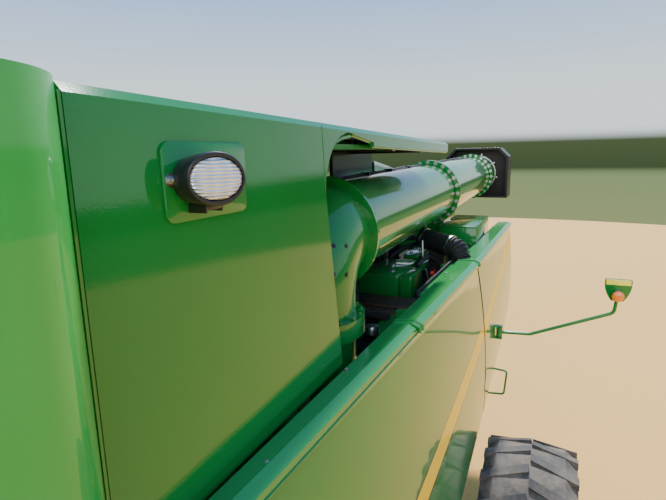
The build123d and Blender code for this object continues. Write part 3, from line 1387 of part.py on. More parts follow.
shaft_reach = FEEDER_HALF_W + DOOR_GAP + FEEDER_EAR_THICK
feeder_shaft = rod(
    (FEEDER_PIVOT_X, -shaft_reach, FEEDER_PIVOT_Z), (FEEDER_PIVOT_X, shaft_reach, FEEDER_PIVOT_Z), FEEDER_SHAFT_R
)
cheeks = []
for side in (1, -1):
    y0 = side * (FEEDER_HALF_W - FEEDER_WALL)
    y1 = side * FEEDER_HALF_W
    cheek = block(
        FEEDER_PIVOT_X - 80, FEEDER_PIVOT_X + 80, min(y0, y1), max(y0, y1), FEEDER_PIVOT_Z - 120, FEEDER_PIVOT_Z + 100
    )
    cheeks.append(cheek)
lugs = []
for side in (1, -1):
    for hand in (1, -1):
        y = side * CYLINDER_Y + hand * (LIFT_EYE_HALF_W + LUG_GAP + LUG_THICK / 2)
        lugs.append(
            side_profile(
                [
                    (CYL_TIP_X - 90, feeder_floor_z(CYL_TIP_X - 90)),
                    (CYL_TIP_X + 90, feeder_floor_z(CYL_TIP_X + 90)),
                    (CYL_TIP_X + 45, CYL_TIP_Z - 45),
                    (CYL_TIP_X - 45, CYL_TIP_Z - 45),
                ],
                y - LUG_THICK / 2,
                y + LUG_THICK / 2,
            )
        )
    pin_half = LIFT_EYE_HALF_W + LUG_GAP + LUG_THICK
    lugs.append(
        rod(
            (CYL_TIP_X, side * CYLINDER_Y - pin_half, CYL_TIP_Z),
            (CYL_TIP_X, side * CYLINDER_Y + pin_half, CYL_TIP_Z),
            LIFT_PIN_R,
        )
    )
save(joined([feeder, face_frame, feeder_shaft] + cheeks + lugs), "feeder_house")
drum_x, drum_z = HALF_LENGTH - 330, (FEEDER_FRONT_LOW_Z + FEEDER_FRONT_TOP_Z) / 2
drum_reach = FEEDER_HALF_W - FEEDER_WALL - SEAT_GAP
DRUM_R = 190
drum_half = drum_reach - DOOR_GAP
feeder_drum = rod((drum_x, -drum_half, drum_z), (drum_x, drum_half, drum_z), DRUM_R)
drum_shaft = rod((drum_x, -drum_reach, drum_z), (drum_x, drum_reach, drum_z), 35)
save(feeder_drum + drum_shaft, "feeder_drum")

# Lift cylinders from the axle to the feeder house's underside.
CYL_BASE = (CYL_BASE_X, CYLINDER_Y, CYL_BASE_Z)
CYL_TIP = (CYL_TIP_X, CYLINDER_Y, CYL_TIP_Z)
cyl_dir = Vector(*CYL_TIP) - Vector(*CYL_BASE)
cyl_unit = cyl_dir.normalized()


def along(distance):
    point = Vector(*CYL_BASE) + cyl_unit * distance
    return (point.X, point.Y, point.Z)


BARREL_LENGTH = 900
BARREL_R = 62
LIFT_ROD_R = 40
barrel = tube(along(60), along(BARREL_LENGTH), BARREL_R, BARREL_R - LIFT_ROD_R - SEAT_GAP)
barrel = barrel + rod(along(55), along(90), BARREL_R)
barrel_eye = Pos(*CYL_BASE) * Rot(90, 0, 0) * Cylinder(60, 2 * BARREL_EYE_HALF_W)
barrel_bore = Pos(*CYL_BASE) * Rot(90, 0, 0) * Cylinder(BARREL_PIN_R + SEAT_GAP, 200)
barrel = barrel + barrel_eye - barrel_bore
save(apart([barrel, on_right(barrel)]), "lift_cylinder_barrels")
rod_shape = rod(along(300), along(cyl_dir.length - 40), LIFT_ROD_R)
rod_eye = Pos(*CYL_TIP) * Rot(90, 0, 0) * (
    Cylinder(55, 2 * LIFT_EYE_HALF_W) - Cylinder(LIFT_EYE_BORE_R, 200)
)
lift_rod = rod_shape + rod_eye
save(apart([lift_rod, on_right(lift_rod)]), "lift_cylinder_rods")

# Rear service ladder on the right of the straw hood.
rear_ladder_x = HOOD_REAR_X - 60
rear_ladder_parts = []
for y in (-900, -540):
    rear_ladder_parts.append(block(rear_ladder_x - 25, rear_ladder_x, y - 15, y + 15, 1180, 2700))
for z in (1240, 1540, 1840, 2140, 2440):
    rear_ladder_parts.append(block(rear_ladder_x - 60, rear_ladder_x - 5, -900, -540, z, z + 25))
for y in (-900, -540):
    rear_ladder_parts.append(block(rear_ladder_x - 10, HOOD_REAR_X - SEAT_GAP, y - 15, y + 15, 2335, 2365))
    rear_ladder_parts.append(block(rear_ladder_x - 10, HOOD_REAR_X + 58, y - 15, y + 15, 1685, 1715))
save(joined(rear_ladder_parts), "rear_ladder")
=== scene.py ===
import math

import bmesh
import bpy
from mathutils import Matrix, Vector


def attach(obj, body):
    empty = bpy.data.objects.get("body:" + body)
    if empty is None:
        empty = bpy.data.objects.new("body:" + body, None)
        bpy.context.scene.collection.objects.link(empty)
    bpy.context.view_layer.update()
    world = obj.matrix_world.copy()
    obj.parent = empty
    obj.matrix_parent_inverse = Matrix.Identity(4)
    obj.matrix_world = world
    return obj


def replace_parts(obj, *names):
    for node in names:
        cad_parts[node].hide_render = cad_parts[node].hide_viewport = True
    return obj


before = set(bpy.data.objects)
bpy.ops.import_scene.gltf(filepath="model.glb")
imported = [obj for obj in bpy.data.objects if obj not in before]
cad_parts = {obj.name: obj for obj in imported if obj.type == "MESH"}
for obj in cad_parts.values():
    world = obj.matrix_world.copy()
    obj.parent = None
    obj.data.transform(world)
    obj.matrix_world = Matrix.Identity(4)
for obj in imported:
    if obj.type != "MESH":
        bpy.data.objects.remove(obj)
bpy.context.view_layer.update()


# The yard: a plain pale floor under an open sky, with a high sun and a broad fill from ahead. The
# camera stands at the rail of the platform on the machine's left, and looks back along it.
class Wire:
    """One output of a node, so that masks are written as sums, such as 1 - mask * 0.4."""

    def __init__(self, graph, socket):
        self.graph = graph
        self.socket = socket

    def sum(self, operation, other, turned=False):
        pair = {0: other, 1: self} if turned else {0: self, 1: other}
        return self.graph.node("ShaderNodeMath", {"operation": operation}, pair)

    def __add__(self, other):
        return self.sum("ADD", other)

    __radd__ = __add__

    def __sub__(self, other):
        return self.sum("SUBTRACT", other)

    def __rsub__(self, other):
        return self.sum("SUBTRACT", other, True)

    def __mul__(self, other):
        return self.sum("MULTIPLY", other)

    __rmul__ = __mul__

    def __pow__(self, other):
        return self.sum("POWER", other)

    def __gt__(self, other):
        return self.sum("GREATER_THAN", other)

    def __lt__(self, other):
        return self.sum("LESS_THAN", other)


class Graph:
    """A node tree, with one method that adds a node and a few named uses of it."""

    def __init__(self, tree):
        self.tree = tree

    def feed(self, socket, value):
        if isinstance(value, Wire):
            self.tree.links.new(value.socket, socket)
        else:
            socket.default_value = value

    def node(self, kind, settings=None, sockets=None, out=0):
        made = self.tree.nodes.new(kind)
        for name, value in (settings or {}).items():
            if name == "stops":
                ends = made.color_ramp.elements
                ends[0].position, ends[0].color = value[0]
                ends[1].position, ends[1].color = value[-1]
                for place, tone in value[1:-1]:
                    ends.new(place).color = tone
            else:
                setattr(made, name, value)
        for name, value in (sockets or {}).items():
            self.feed(made.inputs[name], value)
        return Wire(self, made.outputs[out])

    def axis(self, vector, letter):
        return self.node("ShaderNodeSeparateXYZ", {}, {0: vector}, out="XYZ".index(letter))

    def band(self, value, low, high):
        """0 below low, 1 above high, and straight between them. Low may be the larger."""
        return self.node("ShaderNodeMapRange", {}, {0: value, 1: low, 2: high, 3: 0.0, 4: 1.0})

    def mix(self, share, first, second):
        return self.node("ShaderNodeMix", {"data_type": "RGBA"}, {0: share, 6: first, 7: second}, out=2)

    def noise(self, size, detail=2.0, stretch=(1.0, 1.0, 1.0)):
        """Cloudy variation whose clouds are about size metres across."""
        place = self.node("ShaderNodeMapping", {}, {"Vector": self.place, "Scale": stretch})
        return self.node("ShaderNodeTexNoise", {}, {"Vector": place, "Scale": 1.0 / size, "Detail": detail})

    def waves(self, way, scale, distortion=0.0):
        settings = {"Vector": self.place, "Scale": scale, "Distortion": distortion}
        return self.node("ShaderNodeTexWave", {"bands_direction": way}, settings)

    def holes(self, scale):
        """Distance to the nearest point of an even grid, for punched holes and pressed buttons."""
        settings = {"Vector": self.place, "Scale": scale, "Randomness": 0.0}
        return self.node("ShaderNodeTexVoronoi", {"feature": "F1"}, settings)

    def relief(self, height, depth, strength=1.0):
        return self.node("ShaderNodeBump", {}, {"Height": height, "Distance": depth, "Strength": strength})


class Finish(Graph):
    """A material on Blender's Principled shader, with its plain numbers set on the shader itself."""

    def __init__(self, name, **numbers):
        self.material = bpy.data.materials.new(name)
        self.material.use_nodes = True
        super().__init__(self.material.node_tree)
        self.shader = self.tree.nodes["Principled BSDF"]
        self.place = self.node("ShaderNodeTexCoord", out="Object")
        self.set(**numbers)

    def set(self, **values):
        for name, value in values.items():
            self.feed(self.shader.inputs[name.replace("_", " ")], value)
        return self.material


def tone(red, green, blue):
    return (red, green, blue, 1.0)


floor_finish = Finish("pale_floor", Roughness=0.9)
speckle = floor_finish.noise(0.05, 3.0)
floor_finish.set(Base_Color=floor_finish.mix(speckle, tone(0.76, 0.41, 0.100), tone(0.88, 0.50, 0.135)))
FLOOR_RADIUS = 26.0
floor_mesh = bmesh.new()
bmesh.ops.create_circle(floor_mesh, cap_ends=True, segments=128, radius=FLOOR_RADIUS)
floor_data = bpy.data.meshes.new("floor")
floor_mesh.to_mesh(floor_data)
floor_data.materials.append(floor_finish.material)
floor = bpy.data.objects.new("floor", floor_data)
bpy.context.scene.collection.objects.link(floor)

world = bpy.data.worlds.new("soft_light")
world.use_nodes = True
bpy.context.scene.world = world
sky = Graph(world.node_tree)
sky_height = sky.axis(sky.node("ShaderNodeTexCoord", out="Generated"), "Z")
sky_stops = [
    (0.0, tone(0.33, 0.30, 0.18)),
    (0.44, tone(0.26, 0.31, 0.14)),
    (0.479, tone(0.22, 0.30, 0.14)),
    (0.484, tone(0.05, 0.08, 0.035)),
    (0.508, tone(0.07, 0.10, 0.045)),
    (0.517, tone(0.86, 0.94, 1.00)),
    (0.56, tone(0.82, 0.94, 1.00)),
    (0.66, tone(0.30, 0.56, 1.00)),
    (1.0, tone(0.10, 0.29, 0.82)),
]
sky_tone = sky.node("ShaderNodeValToRGB", {"stops": sky_stops}, {0: sky.band(sky_height, -1.0, 1.0)})
background = world.node_tree.nodes["Background"]
sky.feed(background.inputs["Color"], sky_tone)
sky.feed(background.inputs["Strength"], 1.25)

LIGHTS = [("high_sun", (-0.60, -0.12, 0.79), 6.2, 0.06), ("front_fill", (0.85, 0.10, 0.45), 1.6, 0.9)]
for light_name, towards, power, spread in LIGHTS:
    light = bpy.data.lights.new(light_name, "SUN")
    light.energy = power
    light.angle = spread
    lamp_object = bpy.data.objects.new(light_name, light)
    lamp_object.rotation_euler = Vector(towards).to_track_quat("Z", "Y").to_euler()
    bpy.context.scene.collection.objects.link(lamp_object)

CAMERA_EYE = (2.31, 1.97, 3.60)
CAMERA_RIGHT = Vector((-0.41332, 0.91034, -0.02095))
CAMERA_UP = Vector((-0.18208, -0.06009, 0.98145))
FOCAL_PX, PHOTO_WIDTH_PX, SENSOR_MM = 490.0, 666.0, 36.0
camera_data = bpy.data.cameras.new("camera")
camera_data.sensor_width = SENSOR_MM
camera_data.lens = FOCAL_PX / PHOTO_WIDTH_PX * SENSOR_MM
camera_data.clip_start = 0.02
camera_data.clip_end = 400.0
camera = bpy.data.objects.new("camera", camera_data)
camera_turn = Matrix((CAMERA_RIGHT, CAMERA_UP, CAMERA_RIGHT.cross(CAMERA_UP))).transposed()
camera.matrix_world = Matrix.Translation(CAMERA_EYE) @ camera_turn.to_4x4()
bpy.context.scene.collection.objects.link(camera)
bpy.context.scene.camera = camera


# Paint: sprayed enamel under a clear gloss, with faint orange peel, slow waves in the pressed
# sheet, and road dust that lies on level faces and thickens towards the ground.
DUST = tone(0.30, 0.25, 0.18)


def dust_cover(graph, amount):
    """How much dust lies here: on faces that look up, low on the machine, and in patches."""
    facing = graph.axis(graph.node("ShaderNodeNewGeometry", out="Normal"), "Z")
    height = graph.axis(graph.place, "Z")
    lying = graph.band(facing, 0.2, 1.0) * 0.28 + graph.band(height, 2.2, 0.5) * 0.75
    return graph.band(graph.noise(0.35, 6.0), 0.32, 0.78) * lying * amount


def enamel(name, colour, shade, gloss=0.05, dust=0.3, wave=0.004, shine=0.9, crown=None):
    """Sprayed paint under a clear coat. A crown, how far a pressed panel leans in towards its top,
    makes it one polished layer instead, whose reflections bend with the sheet."""
    polished = crown is not None
    level = shine / 2 if polished else 0.12
    coat = Finish(name, Coat_Roughness=gloss, Coat_IOR=1.5, Specular_IOR_Level=level)
    dusty = dust_cover(coat, dust)
    body = coat.mix(coat.band(coat.noise(0.9, 3.0), 0.35, 0.7), colour, shade)
    peel = coat.noise(0.006, 1.0) * 0.02 + coat.noise(0.55, 1.0)
    if crown:
        climb = coat.axis(coat.place, "Z") - 2.2
        peel = peel - climb * climb * crown
    return coat.set(
        Base_Color=coat.mix(dusty, body, DUST),
        Roughness=dusty * 0.5 + (gloss if polished else 0.32),
        Coat_Weight=(1 - dusty) * (0.0 if polished else shine),
        Normal=coat.relief(peel, wave, 0.6),
    )


GREEN, GREEN_SHADE = tone(0.011, 0.215, 0.032), tone(0.008, 0.180, 0.026)
# The corner posts get a lighter green than the panels of the same paint: painted light, for the posts'
# brighter lit faces.
PAINTED_LIGHT_CORNER_GREEN, PAINTED_LIGHT_CORNER_SHADE = tone(0.040, 0.42, 0.070), tone(0.032, 0.37, 0.058)
# The rails get a lighter, bluer green than the rest of the same paint: painted sheen, for the sky reflected
# on their tops.
RAIL_PAINTED_SHEEN_GREEN, RAIL_PAINTED_SHEEN_SHADE = tone(0.030, 0.29, 0.065), tone(0.022, 0.25, 0.052)
green_enamel = enamel("green_enamel", GREEN, GREEN_SHADE)
panel_enamel = enamel("panel_enamel", GREEN, GREEN_SHADE, 0.07, 0.06, 0.005, 0.9, 9.0)
painted_light_corner_enamel = enamel("painted_light_corner_enamel", PAINTED_LIGHT_CORNER_GREEN, PAINTED_LIGHT_CORNER_SHADE, 0.04, 0.1, 0.004, 0.6)
painted_sheen_rail_enamel = enamel("painted_sheen_rail_enamel", RAIL_PAINTED_SHEEN_GREEN, RAIL_PAINTED_SHEEN_SHADE, 0.12, 0.1, 0.003, 0.9, 0.0)
yellow_enamel = enamel("yellow_enamel", tone(0.80, 0.50, 0.015), tone(0.68, 0.41, 0.012))
black_enamel = enamel("black_enamel", tone(0.018, 0.018, 0.019), tone(0.026, 0.025, 0.024), 0.18)


def finish(material, *nodes):
    """Gives CAD nodes their material. Their meshes stay as they were imported."""
    for node in nodes:
        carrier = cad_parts[node]
        if not carrier.material_slots:
            carrier.data.materials.append(material)
        for place in carrier.material_slots:
            place.material = material


# Chassis: a welded frame with its front drive axle and pivoting rear axle, all sprayed green, with
# bright bolts, and the steering cylinder's black barrels on the rear beam.
FRONT_AXLE_X, REAR_AXLE_X = 2.25, -1.10
FRONT_TYRE_R, REAR_TYRE_R = 0.97, 0.75
finish(green_enamel, "main_frame", "front_axle", "rear_axle")
finish(green_enamel, "steering_knuckle_left", "steering_knuckle_right", "separator_body")


def metal(name, bright, dark, rough):
    bare = Finish(name, Metallic=1.0)
    cloud = bare.noise(0.05, 4.0)
    streak = bare.noise(0.02, 2.0, (1.0, 6.0, 1.0))
    return bare.set(
        Base_Color=bare.mix(cloud, bright, dark),
        Roughness=rough + cloud * 0.22,
        Normal=bare.relief(streak, 0.0004, 0.5),
    )


zinc = metal("zinc_plate", tone(0.72, 0.72, 0.70), tone(0.45, 0.45, 0.44), 0.22)
worn_steel = metal("worn_steel", tone(0.46, 0.45, 0.43), tone(0.24, 0.22, 0.20), 0.34)
rusty = metal("warm_exhaust_steel", tone(0.22, 0.15, 0.10), tone(0.10, 0.07, 0.05), 0.55)


def rod(mesh, start, end, radius, sides=16, radius_end=None):
    """A round bar between two points, straight or tapered."""
    start, end = Vector(start), Vector(end)
    run = end - start
    turn = run.to_track_quat("Z", "Y").to_matrix().to_4x4()
    bmesh.ops.create_cone(
        mesh,
        cap_ends=True,
        segments=sides,
        radius1=radius,
        radius2=radius if radius_end is None else radius_end,
        depth=run.length,
        matrix=Matrix.Translation((start + end) / 2) @ turn,
    )


def bevel(mesh, edges, width, segments=2, clamp=False):
    bmesh.ops.bevel(
        mesh,
        geom=edges,
        offset=width,
        affect="EDGES",
        segments=segments,
        profile=0.5,
        material=-1,
        clamp_overlap=clamp,
    )


def soften(mesh, verts, width):
    bevel(mesh, list({edge for vert in verts for edge in vert.link_edges}), width, clamp=True)


def box(mesh, low, high, edge=0.0, turn=None):
    """A block between two corners with broken edges, turned about its middle if asked."""
    low, high = Vector(low), Vector(high)
    made = bmesh.ops.create_cube(mesh, size=1.0)["verts"]
    bmesh.ops.scale(mesh, vec=high - low, verts=made)
    if turn is not None:
        bmesh.ops.rotate(mesh, matrix=turn, verts=made)
    bmesh.ops.translate(mesh, vec=(low + high) / 2, verts=made)
    if edge:
        soften(mesh, made, edge)


def plate(mesh, outline, depth, edge=0.0):
    """A flat plate: its outline, pulled through its thickness."""
    face = mesh.faces.new([mesh.verts.new(corner) for corner in outline])
    pulled = bmesh.ops.extrude_face_region(mesh, geom=[face], use_keep_orig=True)["geom"]
    moved = [item for item in pulled if isinstance(item, bmesh.types.BMVert)]
    bmesh.ops.translate(mesh, vec=depth, verts=moved)
    if edge:
        soften(mesh, moved + list(face.verts), edge)


def bolt(mesh, foot, outward, width=0.022, height=0.010):
    """A hexagon head on its washer, standing on a face."""
    foot, outward = Vector(foot), Vector(outward).normalized()
    rod(mesh, foot - outward * 0.002, foot + outward * height * 0.25, width * 0.85, sides=14)
    rod(mesh, foot, foot + outward * height, width * 0.5, sides=6)


def ring_of(centre, axis, radius, count, first=0.0):
    """Evenly spaced places on a circle about an axis."""
    centre, axis = Vector(centre), Vector(axis).normalized()
    side = axis.orthogonal().normalized()
    spoke = axis.cross(side)
    turns = [first + 2 * math.pi * i / count for i in range(count)]
    return [centre + radius * (math.cos(a) * side + math.sin(a) * spoke) for a in turns]


def lathe(mesh, centre, axis, section, steps=48):
    """A turned part: section is (distance from the axis, distance along it), outside first."""
    centre, axis = Vector(centre), Vector(axis).normalized()
    side = axis.orthogonal().normalized()
    verts = [mesh.verts.new(centre + side * r + axis * s) for r, s in section]
    edges = [mesh.edges.new(pair) for pair in zip(verts, verts[1:])]
    bmesh.ops.spin(
        mesh, geom=verts + edges, cent=centre, axis=axis, angle=2 * math.pi, steps=steps, use_merge=True
    )
    bmesh.ops.remove_doubles(mesh, verts=mesh.verts[:], dist=0.00001)


SLOTS = {
    "green_enamel": "green_paint",
    "painted_sheen_rail_enamel": "green_paint",
    "yellow_enamel": "yellow_paint",
    "black_enamel": "dark_paint",
    "zinc_plate": "bare_steel",
    "worn_steel": "bare_steel",
    "warm_exhaust_steel": "bare_steel",
}


def carried(name, data, material, body, slot):
    """An object that rides on a body. A slot is looked up from its finish if none is named, and
    lenses and black plastic come to the slot of lamp housings, but the slot is not kept."""
    slot = slot or SLOTS.get(material.name, "lamp_housing")
    data.materials.append(material)
    made = bpy.data.objects.new(name, data)
    bpy.context.scene.collection.objects.link(made)
    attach(made, body)
    return made


def piece(name, mesh, material, body="chassis", crease=34, slot=None):
    """Turns a bmesh into an object that rides on a body."""
    bmesh.ops.recalc_face_normals(mesh, faces=mesh.faces[:])
    data = bpy.data.meshes.new(name)
    mesh.to_mesh(data)
    mesh.free()
    data.shade_smooth()
    data.set_sharp_from_angle(angle=math.radians(crease))
    return carried(name, data, material, body, slot)


FORMS = {"box": box, "rod": rod, "plate": plate, "bolt": bolt, "lathe": lathe}


def build(name, material, body="chassis", slot=None, **rows):
    """A piece put together from rows of simple forms, such as box=[(low, high, edge)]."""
    mesh = bmesh.new()
    for form, places in rows.items():
        for place in places:
            FORMS[form](mesh, *place)
    return piece(name, mesh, material, body, slot=slot)


def pipe(name, route, radius, material, body="chassis"):
    """A bent tube or clamped line, round all the way along its route."""
    curve = bpy.data.curves.new(name, "CURVE")
    curve.dimensions = "3D"
    curve.bevel_depth = radius
    curve.bevel_resolution = 3
    curve.resolution_u = 6
    curve.use_fill_caps = True
    line = curve.splines.new("NURBS")
    line.points.add(len(route) - 1)
    for point, place in zip(line.points, route):
        point.co = (*place, 1.0)
    line.order_u = 3
    line.use_endpoint_u = True
    return carried(name, curve, material, body, None)


SIDES = (("left", 1), ("right", -1))
axle_bolts = bmesh.new()
for _, side in SIDES:
    for place in ring_of((FRONT_AXLE_X, side * 1.03, FRONT_TYRE_R + 0.04), (0, -side, 0), 0.16, 12):
        bolt(axle_bolts, place, (0, -side, 0), 0.026, 0.014)
    for x in (-0.10, 0.10):
        for y in (0.45, 0.65):
            bolt(axle_bolts, (FRONT_AXLE_X + x, side * y, 1.13), (0, 0, 1), 0.032, 0.018)
    for y in (0.12, 0.20):
        bolt(axle_bolts, (REAR_AXLE_X - 0.11, side * y, REAR_TYRE_R + 0.15), (-1, 0, 0), 0.030, 0.016)
piece("axle_bolts", axle_bolts, zinc)

steering = bmesh.new()
for _, side in SIDES:
    barrel_x, barrel_z = REAR_AXLE_X - 0.15, REAR_TYRE_R + 0.02
    rod(steering, (barrel_x, side * 0.20, barrel_z), (barrel_x, side * 0.86, barrel_z), 0.042, sides=20)
    rod(steering, (barrel_x, side * 0.80, barrel_z), (barrel_x, side * 0.87, barrel_z), 0.050, sides=20)
    for y in (side * 0.30, side * 0.72):
        low = (barrel_x - 0.025, y - 0.03, barrel_z - 0.05)
        box(steering, low, (REAR_AXLE_X - 0.108, y + 0.03, barrel_z + 0.05), 0.004)
piece("steering_barrels", steering, black_enamel)


# Tyres: deep black rubber with dust packed between the lugs and rubbed off their tops. The rims are
# sprayed yellow, and carry the hub cap, wheel nuts and the valve.
def tyre_rubber(name, axle_x, axle_z, crown):
    rubber = Finish(name, Specular_IOR_Level=0.4)
    across = rubber.axis(rubber.place, "X") - axle_x
    up = rubber.axis(rubber.place, "Z") - axle_z
    reach = (across * across + up * up) ** 0.5
    packed = rubber.band(reach, crown + 0.030, crown + 0.002) * rubber.band(reach, crown * 0.62, crown * 0.97)
    patches = rubber.band(rubber.noise(0.12, 5.0), 0.25, 0.70)
    film = rubber.band(rubber.noise(0.03, 4.0), 0.45, 0.9) * 0.35
    dusty = rubber.band(packed * patches * 0.95 + film, 0.0, 1.2)
    grain = rubber.noise(0.004, 3.0) + rubber.noise(0.02, 2.0)
    black = rubber.mix(rubber.noise(0.2, 3.0), tone(0.030, 0.029, 0.029), tone(0.048, 0.046, 0.044))
    return rubber.set(
        Base_Color=rubber.mix(dusty, black, tone(0.27, 0.21, 0.15)),
        Roughness=0.62 + dusty * 0.3,
        Normal=rubber.relief(grain, 0.0016, 0.7),
    )


front_rubber = tyre_rubber("front_tyre_rubber", FRONT_AXLE_X, FRONT_TYRE_R, 0.93)
rear_rubber = tyre_rubber("rear_tyre_rubber", REAR_AXLE_X, REAR_TYRE_R, 0.715)
finish(front_rubber, "front_tyres_left", "front_tyres_right")
finish(rear_rubber, "rear_tyre_left", "rear_tyre_right")
finish(yellow_enamel, "front_rims_left", "front_rims_right", "rear_rim_left", "rear_rim_right")

FRONT_WHEEL_Y, FRONT_FACE_Y, REAR_WHEEL_Y = 2.16, 2.2392, 1.91
FRONT_TYRE_W, REAR_TYRE_W = 0.52, 0.63
front_hub_y = FRONT_WHEEL_Y + FRONT_TYRE_W * 0.30
rear_hub_y = REAR_WHEEL_Y + REAR_TYRE_W * 0.20
rear_face_y = REAR_WHEEL_Y + REAR_TYRE_W * 0.36 * 0.35 + 0.014
FRONT_TURNED = [
    (front_hub_y, [(0.150, 0.0), (0.150, 0.03), (0.125, 0.045), (0.085, 0.05), (0.080, 0.075), (0.0, 0.085)]),
    (FRONT_FACE_Y, [(0.245, 0.0), (0.245, 0.014), (0.185, 0.020), (0.172, 0.020)]),
    (FRONT_FACE_Y, [(0.415, 0.0), (0.405, 0.012), (0.385, 0.012), (0.375, 0.0)]),
]
REAR_TURNED = [
    (rear_face_y, [(0.215, 0.0), (0.215, 0.012), (0.150, 0.016), (0.1363, 0.016)]),
    (rear_hub_y, [(0.120, 0.0), (0.118, 0.04), (0.095, 0.055), (0.050, 0.060), (0.0, 0.062)]),
    (rear_face_y, [(0.300, 0.0), (0.292, 0.010), (0.275, 0.010), (0.267, 0.0)]),
]
FRONT_NUTS = [(2.258, 0.213, 12, 0.034, 0.024), (front_hub_y + 0.035, 0.135, 10, 0.018, 0.010)]
REAR_NUTS = [(rear_face_y + 0.013, 0.182, 10, 0.030, 0.020)]
WHEELS = [
    ("front", "front_wheels_", FRONT_AXLE_X, FRONT_TYRE_R, FRONT_TURNED, FRONT_NUTS),
    ("rear", "rear_wheel_", REAR_AXLE_X, REAR_TYRE_R, REAR_TURNED, REAR_NUTS),
]
for hand, side in SIDES:
    out = (0, side, 0)
    for end, body, x, z, turned, rings in WHEELS:
        hub, nuts = bmesh.new(), bmesh.new()
        for y, section in turned:
            lathe(hub, (x, side * y, z), out, section)
        for y, circle, count, width, height in rings:
            for place in ring_of((x, side * y, z), out, circle, count):
                bolt(nuts, place, out, width, height)
        if end == "front":
            rod(nuts, (x + 0.44, side * 2.22, z), (x + 0.46, side * 2.28, z), 0.008)
        piece("hub_cap_" + end + "_" + hand, hub, yellow_enamel, body + hand)
        piece("wheel_nuts_" + end + "_" + hand, nuts, zinc, body + hand)

# Threshing housing: behind the shields, each side of it carries belt pulleys on short shafts. The
# pulleys are cast and sprayed yellow, and their belts are black rubber.
rubber = Finish("black_rubber", Specular_IOR_Level=0.35)
rubber_cloud = rubber.noise(0.08, 4.0)
black_rubber = rubber.set(
    Base_Color=rubber.mix(rubber_cloud, tone(0.016, 0.016, 0.016), tone(0.040, 0.037, 0.033)),
    Roughness=0.5 + rubber_cloud * 0.3,
    Normal=rubber.relief(rubber.noise(0.005, 2.0), 0.0008, 0.5),
)
SLOTS["black_rubber"] = "rubber"
PULLEYS = [(1.05, 1.92, 0.25), (0.10, 1.62, 0.17), (-0.75, 1.88, 0.22), (-1.75, 1.66, 0.16)]
BODY_SIDE_Y = 0.74
for hand, side in SIDES:
    wheels, belts = bmesh.new(), bmesh.new()
    for x, z, radius in PULLEYS:
        rim_shape = [(0.03, 0.12), (0.06, 0.12), (0.06, 0.075), (radius - 0.03, 0.065), (radius, 0.095)]
        rim_shape += [(radius - 0.012, 0.075), (radius - 0.012, 0.055), (radius, 0.035)]
        rim_shape += [(radius - 0.03, 0.055), (0.06, 0.045), (0.05, -0.001)]
        lathe(wheels, (x, side * BODY_SIDE_Y, z), (0, side, 0), rim_shape, 40)
    y = side * (BODY_SIDE_Y + 0.065)
    for (x0, z0, r0), (x1, z1, r1) in zip(PULLEYS, PULLEYS[1:]):
        start, end = Vector((x0, y, z0)), Vector((x1, y, z1))
        across = (end - start).normalized().cross(Vector((0, 1, 0)))
        for edge in (1, -1):
            a, b = start + across * edge * r0 * 0.97, end + across * edge * r1 * 0.97
            rod(belts, a, b, 0.012, sides=8)
    piece("drive_pulleys_" + hand, wheels, yellow_enamel)
    piece("drive_belts_" + hand, belts, black_rubber)

# Straw hood, chopper and spreaders: green sheet over the straw's way out, with tail lamps, ribs and
# rows of bolts, a dark chopper with its guide vanes, and two spinning discs.
finish(green_enamel, "straw_hood")
finish(black_enamel, "chopper")
finish(worn_steel, "spreader_disc_left", "spreader_disc_right")


def lens_finish(name, colour, painted_glow):
    lens = Finish(name, Specular_IOR_Level=0.6, Coat_Weight=1.0, Coat_Roughness=0.05)
    flutes = lens.waves("Y", 40.0)
    # Emission makes every lens glow, also the reflectors and the valve handle, which are no lamps: painted
    # glow, standing in for light they catch and send back.
    lens.set(Emission_Strength=painted_glow)
    return lens.set(
        Base_Color=lens.mix(flutes * 0.5, colour, tone(colour[0] * 0.6, colour[1] * 0.6, colour[2] * 0.6)),
        Emission_Color=lens.mix(flutes, colour, tone(0, 0, 0)),
        Roughness=0.15 + flutes * 0.1,
        Normal=lens.relief(flutes, 0.002, 0.6),
    )


amber_lens = lens_finish("amber_lens", tone(0.95, 0.22, 0.01), 0.45)
red_lens = lens_finish("red_lens", tone(0.62, 0.02, 0.015), 0.15)
clear_lens = lens_finish("clear_lens", tone(0.80, 0.82, 0.80), 0.1)
moulded = Finish("black_plastic", Specular_IOR_Level=0.5)
moulded_grain = moulded.noise(0.003, 2.0)
black_plastic = moulded.set(
    Base_Color=moulded.mix(moulded.noise(0.2, 3.0), tone(0.012, 0.012, 0.013), tone(0.022, 0.022, 0.022)),
    Roughness=0.24 + moulded.noise(0.05, 2.0) * 0.15,
    Normal=moulded.relief(moulded_grain, 0.0003, 0.5),
)

hood_bolts, tail_housings, tail_lenses = bmesh.new(), bmesh.new(), bmesh.new()
TAIL_LAMP_Y, TAIL_LAMP_Z, HOOD_SIDE_Y = 0.74, 2.24, 1.0


def on_line(x, start, end):
    """The second measure at x on the straight line through two points."""
    return start[1] + (end[1] - start[1]) * (x - start[0]) / (end[0] - start[0])


def hood_back_x(z):
    return on_line(z, (2.35, -3.70), (1.70, -3.64))


